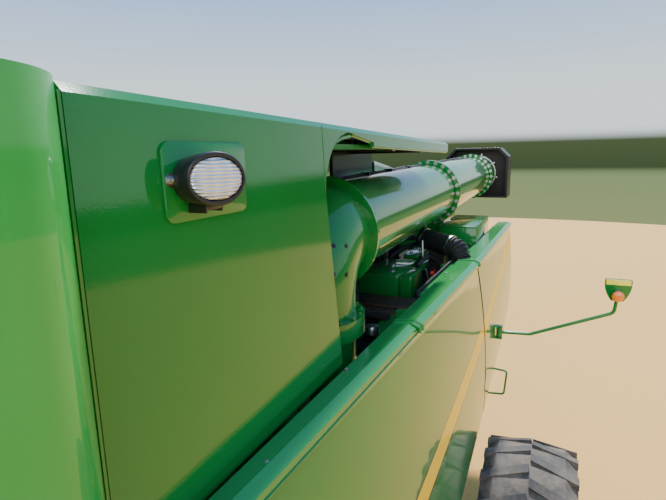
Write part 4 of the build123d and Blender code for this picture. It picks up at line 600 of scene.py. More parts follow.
hood_out = Vector((-0.65, 0, 0.06)).normalized()
lamp_x = hood_back_x(TAIL_LAMP_Z)
hood_trim = bmesh.new()
for z in (1.76, 2.08):
    x = hood_back_x(z)
    box(hood_trim, (x - 0.012, -0.86, z - 0.02), (x + 0.012, 0.86, z + 0.02), 0.006)
for _, side in SIDES:
    for z in (1.78, 1.98, 2.18, 2.31):
        bolt(hood_bolts, (hood_back_x(z), side * 0.93, z), hood_out, 0.02, 0.01)
    for x in (-3.5, -3.3, -3.1, -2.95):
        bolt(hood_bolts, (x, side * HOOD_SIDE_Y, 2.50), (0, side, 0), 0.02, 0.01)
    lamp_y = side * TAIL_LAMP_Y
    low = (lamp_x - 0.045, lamp_y - 0.17, TAIL_LAMP_Z - 0.07)
    box(tail_housings, low, (lamp_x + 0.01, lamp_y + 0.17, TAIL_LAMP_Z + 0.07), 0.012)
    for y in (lamp_y - 0.08, lamp_y + 0.08):
        ends = (lamp_x - 0.040, y, TAIL_LAMP_Z), (lamp_x - 0.058, y, TAIL_LAMP_Z)
        rod(tail_lenses, *ends, 0.055, 32, 0.050)
    cheek = [(-2.94, 1.60), (-3.55, 1.60), (-3.60, 1.75), (-3.64, 2.40), (-2.94, 2.40)]
    plate(hood_trim, [(x, side * HOOD_SIDE_Y, z) for x, z in cheek], (0, side * 0.008, 0), 0.003)
piece("tail_lamp_housings", tail_housings, black_plastic)
piece("tail_lamp_lenses", tail_lenses, red_lens)
piece("hood_bolts", hood_bolts, zinc)
piece("hood_ribs", hood_trim, green_enamel)
vanes = bmesh.new()
for i in range(7):
    y = -0.84 + i * 0.28
    plate(vanes, [(-3.62, y, 1.40), (-3.27, y, 1.14), (-3.66, y, 1.12), (-3.70, y, 1.20)], (0, 0.006, 0))
box(vanes, (-3.70, -0.95, 1.40), (-3.44, 0.95, 1.42), 0.004)
piece("chopper_vanes", vanes, black_enamel)

# Grain tank: folded green sheet. Inside, two screws lie under roof-shaped sheets, and the covers
# over the tank are two black ribbed leaves.
finish(green_enamel, "grain_tank")
# The corner posts' lighter green is painted light.
finish(painted_light_corner_enamel, "corner_posts")
finish(panel_enamel, "tank_panel_left", "tank_panel_right")
finish(black_enamel, "tank_cover_left", "tank_cover_right")
SCREW_REAR_X, SCREW_FRONT_X, SCREW_Z = -0.48, 1.64, 2.36
SCREW_TURNS, SCREW_STEPS = 7, 168
tank_screws, tank_troughs = bmesh.new(), bmesh.new()
for y in (-0.55, 0.25):
    rod(tank_screws, (SCREW_REAR_X - 0.02, y, SCREW_Z), (SCREW_FRONT_X, y, SCREW_Z), 0.035)
    verts = [tank_screws.verts.new((SCREW_REAR_X, y, SCREW_Z + r)) for r in (0.035, 0.13)]
    edge = tank_screws.edges.new(verts)
    bmesh.ops.spin(
        tank_screws,
        geom=verts + [edge],
        cent=(SCREW_REAR_X, y, SCREW_Z),
        axis=(1, 0, 0),
        dvec=(2.1 / SCREW_STEPS, 0, 0),
        angle=2 * math.pi * SCREW_TURNS,
        steps=SCREW_STEPS,
        use_merge=False,
    )
    for foot in (y + 0.19, y - 0.19):
        ridge = [(SCREW_REAR_X, y, 2.66), (SCREW_FRONT_X, y, 2.66)]
        plate(tank_troughs, ridge + [(SCREW_FRONT_X, foot, 2.52), (SCREW_REAR_X, foot, 2.52)], (0, 0, -0.006))
piece("tank_screws", tank_screws, worn_steel)
piece("tank_screw_covers", tank_troughs, zinc)
COVER_LOW_Z, COVER_HALF = 3.684, 1.12
cover_rise = (3.874 - COVER_LOW_Z) / 1.114
rib_low, rib_high = [(y, COVER_LOW_Z + (COVER_HALF - y) * cover_rise) for y in (0.06, 1.05)]
for hand, side in SIDES:
    ribs = bmesh.new()
    for i in range(7):
        x = -0.42 + i * 0.32
        ends = (x, rib_low), (x + 0.09, rib_low), (x + 0.09, rib_high), (x, rib_high)
        plate(ribs, [(x, side * y, z) for x, (y, z) in ends], (0, 0, 0.008), 0.003)
    piece("tank_cover_ribs_" + hand, ribs, black_enamel, "tank_cover_" + hand)

# Corner post and side panels: deep-drawn and gloss sprayed. The post's top has a turned-in flange
# with a reflector on its side, and the left panel's arch has a folded edge over a bay lined with
# black sheets: painted shade, for the shadow inside it.
PANEL_Y, POST_SIDE_Y = 1.24, 1.330
post_trim, reflectors, seam_seal = bmesh.new(), bmesh.new(), bmesh.new()
for _, side in SIDES:
    box(post_trim, (1.80, side * 1.16 - 0.10, 3.723), (2.00, side * 1.16 + 0.10, 3.735), 0.004)
    for z in (2.30, 3.00, 3.62):
        bolt(post_trim, (2.030, side * 1.22, z), (1, 0, 0), 0.02, 0.009)
    y = side * POST_SIDE_Y
    box(reflectors, (1.941, y - 0.004, 3.478), (1.972, y + 0.004, 3.528), 0.002)
    box(seam_seal, (1.7455, side * 1.217 - 0.0212, 2.30), (1.7525, side * 1.217 + 0.0212, 3.712))
piece("post_top_flanges", post_trim, green_enamel)
# The amber reflectors glow through their lens finish's emission: painted glow, as a reflector is no lamp.
piece("post_reflectors", reflectors, amber_lens)
piece("post_seam_seals", seam_seal, green_enamel)


def panel_top(x):
    return on_line(x, (1.745, 3.727), (-1.285, 3.670))


arch_edge = bmesh.new()
ARCH = [(0.652, 2.792), (0.700, 3.10), (0.767, 3.470), (0.735, 3.575), (0.672, 3.640), (0.585, 3.662)]
ARCH += [(0.500, 3.672)]
LIP = [(0.500, 3.674), (0.273, 3.648), (0.273, 3.632), (-1.283, panel_top(-1.283) - 0.067)]
for edge, inset, radius in ((ARCH, 0.020, 0.010), (LIP, 0.014, 0.007)):
    for (x0, z0), (x1, z1) in zip(edge, edge[1:]):
        rod(arch_edge, (x0, PANEL_Y - inset, z0), (x1, PANEL_Y - inset, z1), radius, 10)
rod(arch_edge, (0.768, PANEL_Y - 0.0005, 3.47), (0.788, PANEL_Y - 0.0005, 3.695), 0.002, 6)
piece("arch_folded_edge", arch_edge, green_enamel)
# Black sheets under the hood and along the bay's walls: painted shade, standing in for the shadow inside the
# arch.
painted_shade_under_hood = bmesh.new()
for x in (-0.9, -0.3, 0.25):
    box(painted_shade_under_hood, (x - 0.03, 0.66, panel_top(x) - 0.075), (x + 0.03, 1.15, panel_top(x) - 0.03), 0.004)
lining = [(-1.27, 0.665, 3.636), (0.82, 0.665, 3.672), (0.82, 1.205, 3.672), (-1.27, 1.205, 3.636)]
plate(painted_shade_under_hood, lining, (0, 0, -0.006))
for x0, x1, y, top0, top1 in ((-1.283, -0.555, 0.661, 3.640, 3.655), (-0.555, 0.835, 0.621, 3.638, 3.638)):
    plate(painted_shade_under_hood, [(x0, y, 2.602), (x1, y, 2.602), (x1, y, top1), (x0, y, top0)], (0, 0.004, 0))
piece("painted_shade_under_hood", painted_shade_under_hood, black_enamel)
wall_corners = [(-1.45, 0.622, 3.470), (-1.45, 0.622, 3.545), (-2.08, 0.622, 3.455), (-2.08, 0.622, 3.380)]
build("engine_wall_sheet", zinc, plate=[(wall_corners, (0, 0.004, 0), 0.001)])

# Work lamps: a black moulded housing on a pressed pad with rounded corners. Behind the domed lens
# is a fluted reflector, and one bright screw holds the housing.
LAMP_PAD_X, LAMP_PAD_Y = 1.40, 1.2435
LAMP_FOOT = Vector((1.465, 1.246, 3.553))
LAMP_FACE = Vector((1.475, 1.325, 3.556))
LAMP_TURN = math.radians(30)
LAMP_SCREW = (1.528, 1.2468, 3.556)
fluted = Finish("fluted_reflector", Coat_Weight=1.0, Coat_Roughness=0.03)
flute_x = fluted.waves("X", 12.0, 1.5)
flute_z = fluted.waves("Z", 40.0, 2.2)
fluted_glass = fluted.set(
    Base_Color=fluted.mix(flute_z * 0.6 + flute_x * 0.4, tone(0.62, 0.68, 0.76), tone(0.97, 0.98, 1.0)),
    Metallic=flute_z * 0.5 + 0.3,
    Roughness=0.08 + flute_x * 0.10,
    Normal=fluted.relief(flute_z + flute_x * 0.4, 0.004, 0.6),
)


def oval(mesh, middle, way, semi_x, semi_z, side, count=56):
    """A ring of corners on an ellipse that stands upright and is square to a level direction."""
    ring = []
    for i in range(count):
        a = 2 * math.pi * i / count
        across = Vector((way.y, -way.x, 0)) * semi_x * math.cos(a)
        place = middle + across + Vector((0, 0, semi_z * math.sin(a)))
        ring.append(mesh.verts.new((place.x, place.y * side, place.z)))
    return ring


def skin(mesh, rings):
    """Faces between each ring and the next, with the last one closed."""
    for first, second in zip(rings, rings[1:]):
        for i, corner in enumerate(first):
            mesh.faces.new((first[i - 1], corner, second[i], second[i - 1]))
    mesh.faces.new(rings[-1])


pad_enamel = enamel("pad_enamel", GREEN, GREEN_SHADE, 0.06, 0.1, 0.005, 1.0, 13.0)
SLOTS["pad_enamel"] = "green_paint"
lamp_way = Vector((math.sin(LAMP_TURN), math.cos(LAMP_TURN), 0))
outward = Vector((0, 1, 0))
RIM = [(0.000, 0.0655, 0.0565), (0.003, 0.0640, 0.0550), (0.004, 0.0625, 0.0520)]
RIM += [(0.003, 0.0600, 0.0470), (-0.002, 0.0585, 0.0450), (-0.012, 0.0580, 0.0445)]
DOME = [(-0.004, 1.0), (0.001, 0.97), (0.004, 0.85), (0.006, 0.6), (0.007, 0.3), (0.0072, 0.05)]
for hand, side in SIDES:
    pad = bmesh.new()
    low = (LAMP_PAD_X - 0.145, side * LAMP_PAD_Y - 0.0030, LAMP_FOOT.z - 0.088)
    box(pad, low, (LAMP_PAD_X + 0.145, side * LAMP_PAD_Y + 0.0035, LAMP_FOOT.z + 0.082))
    bevel(pad, [edge for edge in pad.edges if abs(edge.verts[0].co.y - edge.verts[1].co.y) > 0.004], 0.025, 6)
    bevel(pad, [edge for edge in pad.edges if min(abs(vert.co.y) for vert in edge.verts) > 1.2465], 0.0018)
    pad_piece = piece("lamp_pad_" + hand, pad, pad_enamel, crease=60)
    if side > 0:
        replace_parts(pad_piece, "work_lamps")
    shell = bmesh.new()
    rings = [oval(shell, LAMP_FOOT, outward, 0.055, 0.048, side)]
    for share in (0.35, 0.7, 0.94):
        way = outward.lerp(lamp_way, share).normalized()
        middle = LAMP_FOOT.lerp(LAMP_FACE, share)
        rings.append(oval(shell, middle, way, 0.055 + 0.011 * share**0.5, 0.048 + 0.009 * share**0.5, side))
    for step, semi_x, semi_z in RIM:
        rings.append(oval(shell, LAMP_FACE + lamp_way * step, lamp_way, semi_x, semi_z, side))
    skin(shell, rings)
    for x in (1.418, 1.472):
        box(shell, (x, side * 1.270 - 0.024, 3.483), (x + 0.006, side * 1.270 + 0.024, 3.515), 0.002)
    box(shell, (1.420, side * 1.272 - 0.022, 3.488), (1.475, side * 1.272 + 0.022, 3.504), 0.004)
    piece("lamp_housing_" + hand, shell, black_plastic, crease=40)
    lens = bmesh.new()
    rings = [
        oval(lens, LAMP_FACE + lamp_way * step, lamp_way, 0.0583 * share, 0.0447 * share, side)
        for step, share in DOME
    ]
    skin(lens, rings)
    piece("lamp_lens_" + hand, lens, fluted_glass, crease=60)
    x, y, z = LAMP_SCREW
    head = ((x, side * y, z), (0, side, 0), 0.017, 0.012)
    shank = ((x, side * y, z), (x, side * 1.263, z), 0.005, 12)
    build("lamp_screw_" + hand, zinc, bolt=[head], rod=[shank])

# Unloading auger: rolled green tube in three lengths between bolted flange rings, on a mitred elbow
# with a blank plate on its side. A dark loom is clipped along its top, and a rubber boot ends it.
AUGER_Y, AUGER_Z, AUGER_RISE = 0.941, 3.223, 0.0162
FLANGES = (0.15, -1.947, -4.194)
TUBE_R = 0.24
finish(green_enamel, "auger_turret", "auger_elbow", "auger_tube")
BOOT_BLACK, BOOT_WORN = tone(0.026, 0.024, 0.024), tone(0.040, 0.034, 0.032)
boot_rubber = enamel("boot_rubber", BOOT_BLACK, BOOT_WORN, 0.5, 0.2, 0.002, 0.0)
finish(boot_rubber, "auger_boot")
SLOTS["boot_rubber"] = "rubber"


def auger_centre(x):
    return Vector((x, AUGER_Y, AUGER_Z + AUGER_RISE * (FLANGES[0] - x)))


along = Vector((-1, 0, AUGER_RISE)).normalized()
flange_bolts, painted_bolts, seams = bmesh.new(), bmesh.new(), bmesh.new()
for x in FLANGES[1:]:
    for face, height in ((0.022, 0.010), (-0.022, 0.014)):
        for place in ring_of(auger_centre(x + face), along, 0.261, 24):
            bolt(flange_bolts, place, -along if face > 0 else along, 0.020, height)
    lathe(seams, auger_centre(x + 0.044), along, [(0.243, -0.002), (0.243, 0.006), (0.2402, 0.010)], 64)
for hand in (1, -1):
    for place in ring_of(auger_centre(FLANGES[0] + hand * 0.022), along, 0.263, 20, 0.1):
        bolt(painted_bolts, place, -along * hand, 0.014, 0.007)
for place in ring_of((0.40, AUGER_Y, 2.866), (0, 0, 1), 0.261, 20):
    bolt(painted_bolts, place + Vector((0, 0, 0.032)), (0, 0, 1), 0.020, 0.010)
piece("flange_bolts", flange_bolts, zinc, "unloading_auger")
piece("elbow_flange_bolts", painted_bolts, green_enamel, "unloading_auger")
piece("tube_weld_beads", seams, green_enamel, "unloading_auger")


def on_elbow(bend, round_tube, height):
    """A place over the elbow: degrees along its bend, degrees round its tube, and height above."""
    a, b = math.radians(bend), math.radians(round_tube)
    spoke = Vector((math.cos(a), 0, math.sin(a)))
    out = spoke * math.cos(b) + Vector((0, math.sin(b), 0))
    return Vector((0.161, AUGER_Y, 2.984)) + spoke * 0.239 + out * (TUBE_R + height), out


blank, blank_bolts = bmesh.new(), bmesh.new()
CORNERS = ((39.1, 47.5), (46.3, 66.7), (17.7, 54.7), (19.6, 78.2))


def on_blank(u, v, height):
    upper = [CORNERS[0][i] * (1 - u) + CORNERS[1][i] * u for i in (0, 1)]
    lower = [CORNERS[2][i] * (1 - u) + CORNERS[3][i] * u for i in (0, 1)]
    return on_elbow(*[upper[i] * (1 - v) + lower[i] * v for i in (0, 1)], height)


for height in (0.004, -0.004):
    grid = [[blank.verts.new(on_blank(u / 6, v / 8, height)[0]) for u in range(7)] for v in range(9)]
    for row, below in zip(grid, grid[1:]):
        for i in range(6):
            blank.faces.new((row[i], row[i + 1], below[i + 1], below[i]))
bmesh.ops.bridge_loops(blank, edges=[edge for edge in blank.edges if edge.is_boundary])
for u in (0.14, 0.86):
    for v in (0.10, 0.90):
        place, out = on_blank(u, v, 0.003)
        bolt(blank_bolts, place, out, 0.013, 0.006)
piece("elbow_blank_plate", blank, green_enamel, "unloading_auger")
piece("blank_plate_bolts", blank_bolts, black_enamel, "unloading_auger")
loom_route = []
for i in range(24):
    wander = Vector((0, -0.085 + 0.006 * math.sin(i * 2.1), 0.237 + 0.003 * math.cos(i * 1.7)))
    loom_route.append(auger_centre(0.10 - i * 0.205) + wander)
for offset, radius in ((0.0, 0.012), (0.024, 0.008)):
    route = [place + Vector((0, offset, -offset * 0.20)) for place in loom_route]
    pipe("tube_loom_%d" % (offset * 1000), route, radius, black_rubber, "unloading_auger")
clips = bmesh.new()
for i in range(10):
    centre = auger_centre(-0.15 - i * 0.46)
    box(clips, centre + Vector((-0.007, -0.105, 0.216)), centre + Vector((0.007, -0.045, 0.252)), 0.003)
piece("loom_clips", clips, black_plastic, "unloading_auger")
BOOT_REAR_X, BOOT_LIP_X, BOOT_FACE_X, BOOT_Z = -5.15, -4.70, -4.83, 3.3146
BOOT_EDGE = [(-0.401, -0.326), (-0.401, 0.211), (-0.286, 0.326)]
BOOT_EDGE += [(-across, up) for across, up in reversed(BOOT_EDGE)]
boot_lip = bmesh.new()
for x in (BOOT_LIP_X - 0.010, BOOT_REAR_X + 0.014):
    corners = [(x, AUGER_Y + across, BOOT_Z + up) for across, up in BOOT_EDGE]
    for a, b in zip(corners, corners[1:]):
        rod(boot_lip, a, b, 0.011, 12)
piece("boot_rolled_lip", boot_lip, boot_rubber, "unloading_auger")
boot_clamp = bmesh.new()
clamp_middle = auger_centre(BOOT_FACE_X + 0.03)
CLAMP_SHAPE = [(0.2403, -0.014), (0.248, -0.014), (0.248, 0.014), (0.2403, 0.014)]
lathe(boot_clamp, clamp_middle, along, CLAMP_SHAPE, 64)
clamp_lug = Vector((0.016, 0.010, 0.010))
for place in ring_of(clamp_middle, along, 0.262, 8, 0.2):
    box(boot_clamp, place - clamp_lug, place + clamp_lug, 0.003)
piece("boot_clamp_band", boot_clamp, zinc, "unloading_auger")

# Engine deck: sheet with green boxes, a plain engine block dressed with its cover, manifold and
# pipes, the air pipe with its silver clamp and ribbed hose, and small valves beside the turret. The
# deck and block are near black: painted shade, for the shadow in the bay under the hood.
# Near-black, dull paint: painted shade where the bay lies in shadow.
DECK_PAINTED_SHADE_BLACK, DECK_PAINTED_SHADE_WORN = tone(0.011, 0.012, 0.012), tone(0.020, 0.019, 0.018)
painted_shade_deck_paint = enamel("painted_shade_deck_paint", DECK_PAINTED_SHADE_BLACK, DECK_PAINTED_SHADE_WORN, 0.75, 0.2, 0.003, 0.15, 0.0)
finish(painted_shade_deck_paint, "engine_deck", "engine_block")
finish(black_plastic, "air_pipe")
DECK_Z = 2.602
DECK_BOXES = [
    ((-2.955, 1.005, 2.93), (-2.125, 1.335, 2.948), 0.006),
    ((-2.135, 1.005, 2.61), (-2.127, 1.335, 2.94), 0.002),
    ((-2.95, 1.328, 2.61), (-2.13, 1.336, 2.94), 0.002),
    ((-1.38, 0.64, DECK_Z), (-0.86, 1.00, 2.775), 0.012),
    ((-1.20, 1.003, DECK_Z), (-0.90, 1.09, 2.760), 0.010),
    ((-1.82, 0.86, 2.755), (-1.48, 0.98, 2.790), 0.006),
    ((-1.80, 0.87, DECK_Z), (-1.74, 0.96, 2.757), 0.004),
    ((-1.66, 1.02, 2.700), (-1.36, 1.06, 2.740), 0.004),
    ((-1.40, 1.19, DECK_Z), (-1.36, 1.215, 2.760), 0.003),
    ((-1.58, 1.19, DECK_Z), (-1.54, 1.215, 2.740), 0.003),
    ((-0.28, 0.80, DECK_Z), (-0.10, 0.98, 2.655), 0.006),
    ((-0.26, 0.86, 2.655), (-0.20, 0.98, 2.690), 0.004),
    ((-0.46, 1.06, DECK_Z), (-0.12, 1.20, 2.632), 0.006),
]
build("deck_boxes", green_enamel, box=DECK_BOXES)
cap_shape = [(0.040, 0.0), (0.040, 0.03), (0.034, 0.045), (0.0, 0.050)]
heads = [(-1.57, 0.90, 2.790), (-1.72, 0.94, 2.790), (-1.13, 0.88, 2.775), (-0.96, 0.93, 2.775)]
build(
    "deck_bolts",
    zinc,
    bolt=[(place, (0, 0, 1), 0.028, 0.016) for place in heads],
    rod=[((-0.32 - i * 0.03, 0.83, 2.70), (-0.32 - i * 0.03, 0.83, 2.735), 0.011, 6) for i in range(4)],
    box=[((-0.44, 0.80, DECK_Z), (-0.29, 0.86, 2.705), 0.004)],
    lathe=[((-0.10, 1.09, 2.632), (0, 0, 1), cap_shape, 24)],
)
HOSE_RADII = (0.019, 0.016, 0.015, 0.014, 0.026)
HOSE_ROUTES = [
    [(-1.30, 0.70, 2.79), (-1.42, 0.78, 2.90), (-1.62, 0.90, 2.92), (-1.86, 1.02, 2.84), (-1.98, 1.10, 2.61)],
    [(-1.36, 0.78, 2.78), (-1.50, 0.84, 2.86), (-1.74, 1.00, 2.86), (-1.92, 1.14, 2.76), (-2.02, 1.16, 2.61)],
    [(-1.20, 1.05, 2.77), (-1.32, 1.08, 2.83), (-1.48, 1.10, 2.78), (-1.60, 1.14, 2.68), (-1.70, 1.16, 2.61)],
    [(-0.90, 0.70, 2.68), (-0.74, 0.74, 2.72), (-0.56, 0.82, 2.70), (-0.44, 0.86, 2.66)],
    [(-0.38, 0.66, 2.64), (-0.38, 0.86, 2.645), (-0.37, 1.00, 2.64), (-0.34, 1.10, 2.64)],
]
for name, radius, route in zip("abcde", HOSE_RADII, HOSE_ROUTES):
    pipe("deck_hose_" + name, route, radius, black_rubber)
# The handle uses the red lens finish, so it glows: painted glow, as a handle is no lamp.
build(
    "deck_valve_handle",
    red_lens,
    rod=[((-1.24, 1.16, DECK_Z), (-1.24, 1.16, 2.72), 0.013)],
    box=[((-1.30, 1.15, 2.715), (-1.18, 1.17, 2.735), 0.006)],
)
shield_corners = [(-0.60, 0.66, 2.945), (-1.60, 0.66, 2.945), (-1.60, 0.84, 2.915), (-0.60, 0.84, 2.915)]
build(
    "heat_shield_sheet",
    zinc,
    plate=[(shield_corners, (0, 0, -0.005), 0.002)],
    box=[((x, 0.66, 2.60), (x + 0.02, 0.70, 2.940), 0.003) for x in (-1.58, -0.66)],
)
pipe_from, pipe_to = Vector((-1.61, 0.98, 2.915)), Vector((-1.51, 1.24, 2.875))
pipe_run = (pipe_to - pipe_from).normalized()
band = [(0.0833, 0.0), (0.0875, 0.0), (0.0875, 0.014), (0.0833, 0.014)]
strap_top = pipe_from + pipe_run * 0.03 + Vector((0.086, 0, 0))
strap_bend = strap_top + Vector((0.02, 0.01, -0.16))
build(
    "air_pipe_clamps",
    zinc,
    lathe=[(place, pipe_run, band) for place in (pipe_from + pipe_run * 0.025, pipe_to - pipe_run * 0.012)],
    rod=[(strap_top, strap_bend, 0.010), (strap_bend, strap_top + Vector((0.02, 0.06, -0.31)), 0.008)],
)
bellows = bmesh.new()
bend_centre = Vector((-1.51, 1.24, 2.79))
bend_radius = (pipe_to - bend_centre).length
level_run = Vector((pipe_run.x, pipe_run.y, 0)).normalized()
for i in range(12):
    a = math.radians(i * 7.5)
    way = pipe_run * math.cos(a) - Vector((0, 0, math.sin(a)))
    middle = bend_centre + bend_radius * (Vector((0, 0, math.cos(a))) + level_run * math.sin(a))
    wide = 0.080 if i % 2 else 0.070
    lathe(bellows, middle, way, [(0.0, -0.007), (wide, -0.006), (wide, 0.006), (0.0, 0.007)], 32)
piece("air_pipe_bellows", bellows, black_rubber)
BEAMS = ((-0.82, -0.60, 2.636), (-0.56, -0.50, 2.628))
beams = [((x0, 0.66, DECK_Z), (x1, 1.21, top), 0.006) for x0, x1, top in BEAMS]
build("deck_beams", rusty, slot="dark_paint", box=beams)
CYLINDERS_X = [-2.26 + i * 0.17 for i in range(6)]
caps = [((x, 0.0, 3.055), (x, 0.0, 3.075), 0.03) for x in CYLINDERS_X]
ports = [((x, 0.45, 2.72), (x, 0.54, 2.74), 0.035, 14) for x in CYLINDERS_X]
cover = ((-2.35, -0.20, 2.96), (-1.30, 0.20, 3.06), 0.03)
manifold = ((-2.36, 0.52, 2.70), (-1.30, 0.592, 2.79), 0.02)
fan_drive = ((-2.45, 0.20, 2.70), (-2.52, 0.20, 2.70), 0.16, 32)
build("engine_dressing", green_enamel, box=[cover, manifold], rod=[*caps, *ports, fan_drive])
build(
    "exhaust",
    rusty,
    rod=[
        ((-1.28, 0.56, 2.745), (-1.16, 0.56, 2.80), 0.05),
        ((-2.40, -0.38, 3.14), (-1.45, -0.38, 3.14), 0.13, 32),
        ((-2.30, -0.38, 3.20), (-2.30, -0.38, 3.62), 0.06, 24),
    ],
    box=[((x, -0.46, 2.955), (x + 0.08, -0.30, 3.03), 0.004) for x in (-2.20, -1.70)],
)

# Cooling housing: green sheet round the radiators. Its rotary screen is fine perforated steel on a
# spoked frame, and keeps chaff off them.
finish(green_enamel, "cooling_housing", "fuel_tank")
mesh_finish = Finish("perforated_steel")
open_hole = mesh_finish.band(mesh_finish.holes(70.0), 0.42, 0.34)
screen_steel = mesh_finish.set(
    Base_Color=mesh_finish.mix(open_hole, tone(0.33, 0.33, 0.32), tone(0.01, 0.01, 0.01)),
    Metallic=1 - open_hole,
    Roughness=0.4 + open_hole * 0.4,
    Normal=mesh_finish.relief(open_hole, 0.002, 0.5),
)
finish(screen_steel, "cooling_screen")
SCREEN_CENTRE = Vector((-1.85, -1.17, 2.815))
SCREEN_HOOP = [(0.438, -0.02), (0.438, 0.006), (0.41, 0.006), (0.41, 0.0)]
SCREEN_CAP = [(0.09, -0.001), (0.08, 0.008), (0.0, 0.009)]
screen_frame = bmesh.new()
lathe(screen_frame, SCREEN_CENTRE, (0, -1, 0), SCREEN_HOOP, 64)
lathe(screen_frame, SCREEN_CENTRE, (0, -1, 0), SCREEN_CAP, 32)
spoke_centre = SCREEN_CENTRE - Vector((0, 0.003, 0))
for turn in range(6):
    a = math.radians(60 * turn)
    way = Vector((math.cos(a), 0, math.sin(a)))
    rod(screen_frame, spoke_centre + way * 0.08, spoke_centre + way * 0.42, 0.005, 8)
piece("screen_frame", screen_frame, black_enamel, "cooling_screen")

# Capping rails: folded green sheet over the shields' hinges. Pressed ribs stand over its joints, bolts
# hold it to its brackets, and a rubber seal lies along its inner flange.
# The rails' lighter, bluer green is a painted sheen of sky.
finish(painted_sheen_rail_enamel, "shield_rail_left", "shield_rail_right")


SHIELD_SEAM_X = -1.33
RAIL_BOLTS = [(1.33, 0.050), (0.73, 0.012), (-0.90, 0.012), (-2.10, 0.012), (-3.20, 0.012)]


def rail_inner(x):
    return on_line(x, (1.45, 1.262), (-3.80, 1.375))


def rail_outer(x):
    bend = (SHIELD_SEAM_X, 1.468)
    return on_line(x, (1.453, 1.357), bend) if x > SHIELD_SEAM_X else on_line(x, bend, (-3.444, 1.501))


for hand, side in SIDES:
    ribs, rail_bolts, painted_shade_sheet = bmesh.new(), bmesh.new(), bmesh.new()
    for x in (0.155, 0.115, SHIELD_SEAM_X):
        outer = rail_outer(x)
        folds = [(rail_inner(x) + 0.004, 2.802), (outer - 0.024, 2.812)]
        folds += [(outer + 0.013, 2.795), (outer + 0.014, 2.770)]
        top = [(x, side * y, z) for y, z in folds]
        for a, b in zip(top, top[1:]):
            rod(ribs, a, b, 0.009, 10)
    piece("rail_joint_ribs_" + hand, ribs, painted_sheen_rail_enamel)
    for x, inset in RAIL_BOLTS:
        bolt(rail_bolts, (x, side * (rail_inner(x) + inset), 2.8105), (0, 0, 1), 0.010, 0.004)
    piece("rail_bolts_" + hand, rail_bolts, zinc)
    # A black sheet under the gap between panel and rail: painted shade, where the gap shows only shadow.
    box(painted_shade_sheet, (-0.50, side * 1.31 - 0.07, 2.630), (1.66, side * 1.31 + 0.07, 2.636), 0.002)
    piece("rail_dirt_sheet_" + hand, painted_shade_sheet, black_rubber)
    flange, seal = bmesh.new(), bmesh.new()
    for x0, x1, edge in ((-3.44, -2.08, 0.003), (-2.08, -0.46, 0.050)):
        strips = ((flange, edge, 0.002, 2.764, 2.772), (seal, edge + 0.013, edge, 2.756, 2.794))
        for mesh, inner, outer, low, high in strips:
            turns = ((x0, inner), (x1, inner), (x1, outer), (x0, outer))
            plate(mesh, [(x, side * (rail_inner(x) - y), low) for x, y in turns], (0, 0, high - low), 0.002)
    piece("rail_inner_flange_" + hand, flange, painted_sheen_rail_enamel)
    piece("rail_edge_seal_" + hand, seal, black_rubber)

# Side shields: large gloss doors with a yellow stripe that widens and rises to the rear, edged in
# dark green. The rear door carries the grab loop and the marker arm's ears.
stripe = Finish("striped_enamel", Coat_Roughness=0.03, Coat_IOR=1.42, Specular_IOR_Level=0.15)
dusty = dust_cover(stripe, 0.18)
length = stripe.axis(stripe.place, "X")
height = stripe.axis(stripe.place, "Z")
middle = length * length * 0.0241 - length * 0.0547 + 2.18
half = 0.050 - length * 0.006
away = (height - middle).sum("ABSOLUTE", 0.0)
yellow_part = (away - half) < 0.0
edge_part = (away - half - 0.011) < 0.0
paint = stripe.mix(edge_part, GREEN, tone(0.010, 0.030, 0.012))
paint = stripe.mix(yellow_part, paint, tone(1.0, 0.66, 0.015))
seam = (length - SHIELD_SEAM_X).sum("ABSOLUTE", 0.0) < 0.020
paint = stripe.mix(seam, paint, tone(0.004, 0.020, 0.007))
striped_enamel = stripe.set(
    Base_Color=stripe.mix(dusty, paint, DUST),
    Roughness=dusty * 0.5 + seam * 0.5 + 0.3,
    Coat_Weight=(1 - dusty) * (1 - seam) * (0.9 - yellow_part * 0.6),
    Normal=stripe.relief(stripe.noise(0.006, 1.0) * 0.02 + stripe.noise(0.8, 1.0), 0.004, 0.5),
)
finish(striped_enamel, "front_shield_left", "front_shield_right", "rear_shield_left", "rear_shield_right")
for hand, side in SIDES:
    strut = [((-1.60, side * 1.42, 2.60), (-1.60, side * 1.46, 2.10), 0.012)]
    stiffener = [((-1.50, side * 1.40 - 0.02, 1.70), (-1.46, side * 1.40 + 0.02, 2.60), 0.006)]
    build("shield_struts_" + hand, black_enamel, "rear_shield_" + hand, box=stiffener, rod=strut)

# Marker arms: a bent green tube that turns on a pin between two ears. Its pressed plate narrows down
# to the lamp, amber ahead and red behind, and has a yellow reflecting strip along its top.
MARKER_X = -2.02
# The reflecting strip glows: painted glow for the light it sends back.
painted_light_yellow_reflector = lens_finish("painted_light_yellow_reflector", tone(1.0, 0.86, 0.06), 0.55)
LAMP_CENTRE_Y, LAMP_CENTRE_Z = 2.454, 2.463
MARKER_ROUTE = [(1.5787, 2.0370), (1.8000, 2.0493), (1.8300, 2.0510), (1.8580, 2.0630)]
MARKER_ROUTE += [(2.3800, 2.2872), (2.4400, 2.3130), (2.4465, 2.3780), (2.4520, 2.4330)]
MARKER_EDGE = [(0.088, 0.130), (0.095, 0.122), (0.095, 0.078), (0.091, 0.048)]
MARKER_EDGE += [(0.082, 0.018), (0.068, -0.012), (0.052, -0.038), (0.042, -0.050)]
PIN_SHAPE = [(0.0, -0.045), (0.022, -0.045), (0.026, -0.041), (0.026, 0.041), (0.022, 0.045), (0.0, 0.045)]
HOLDER_SHAPE = [(0.0, -0.045), (0.042, -0.045), (0.045, -0.042), (0.045, 0.042), (0.042, 0.045), (0.0, 0.045)]
LENS_SHAPE = [(0.044, 0.0), (0.043, 0.010), (0.034, 0.018), (0.018, 0.023), (0.0, 0.025)]
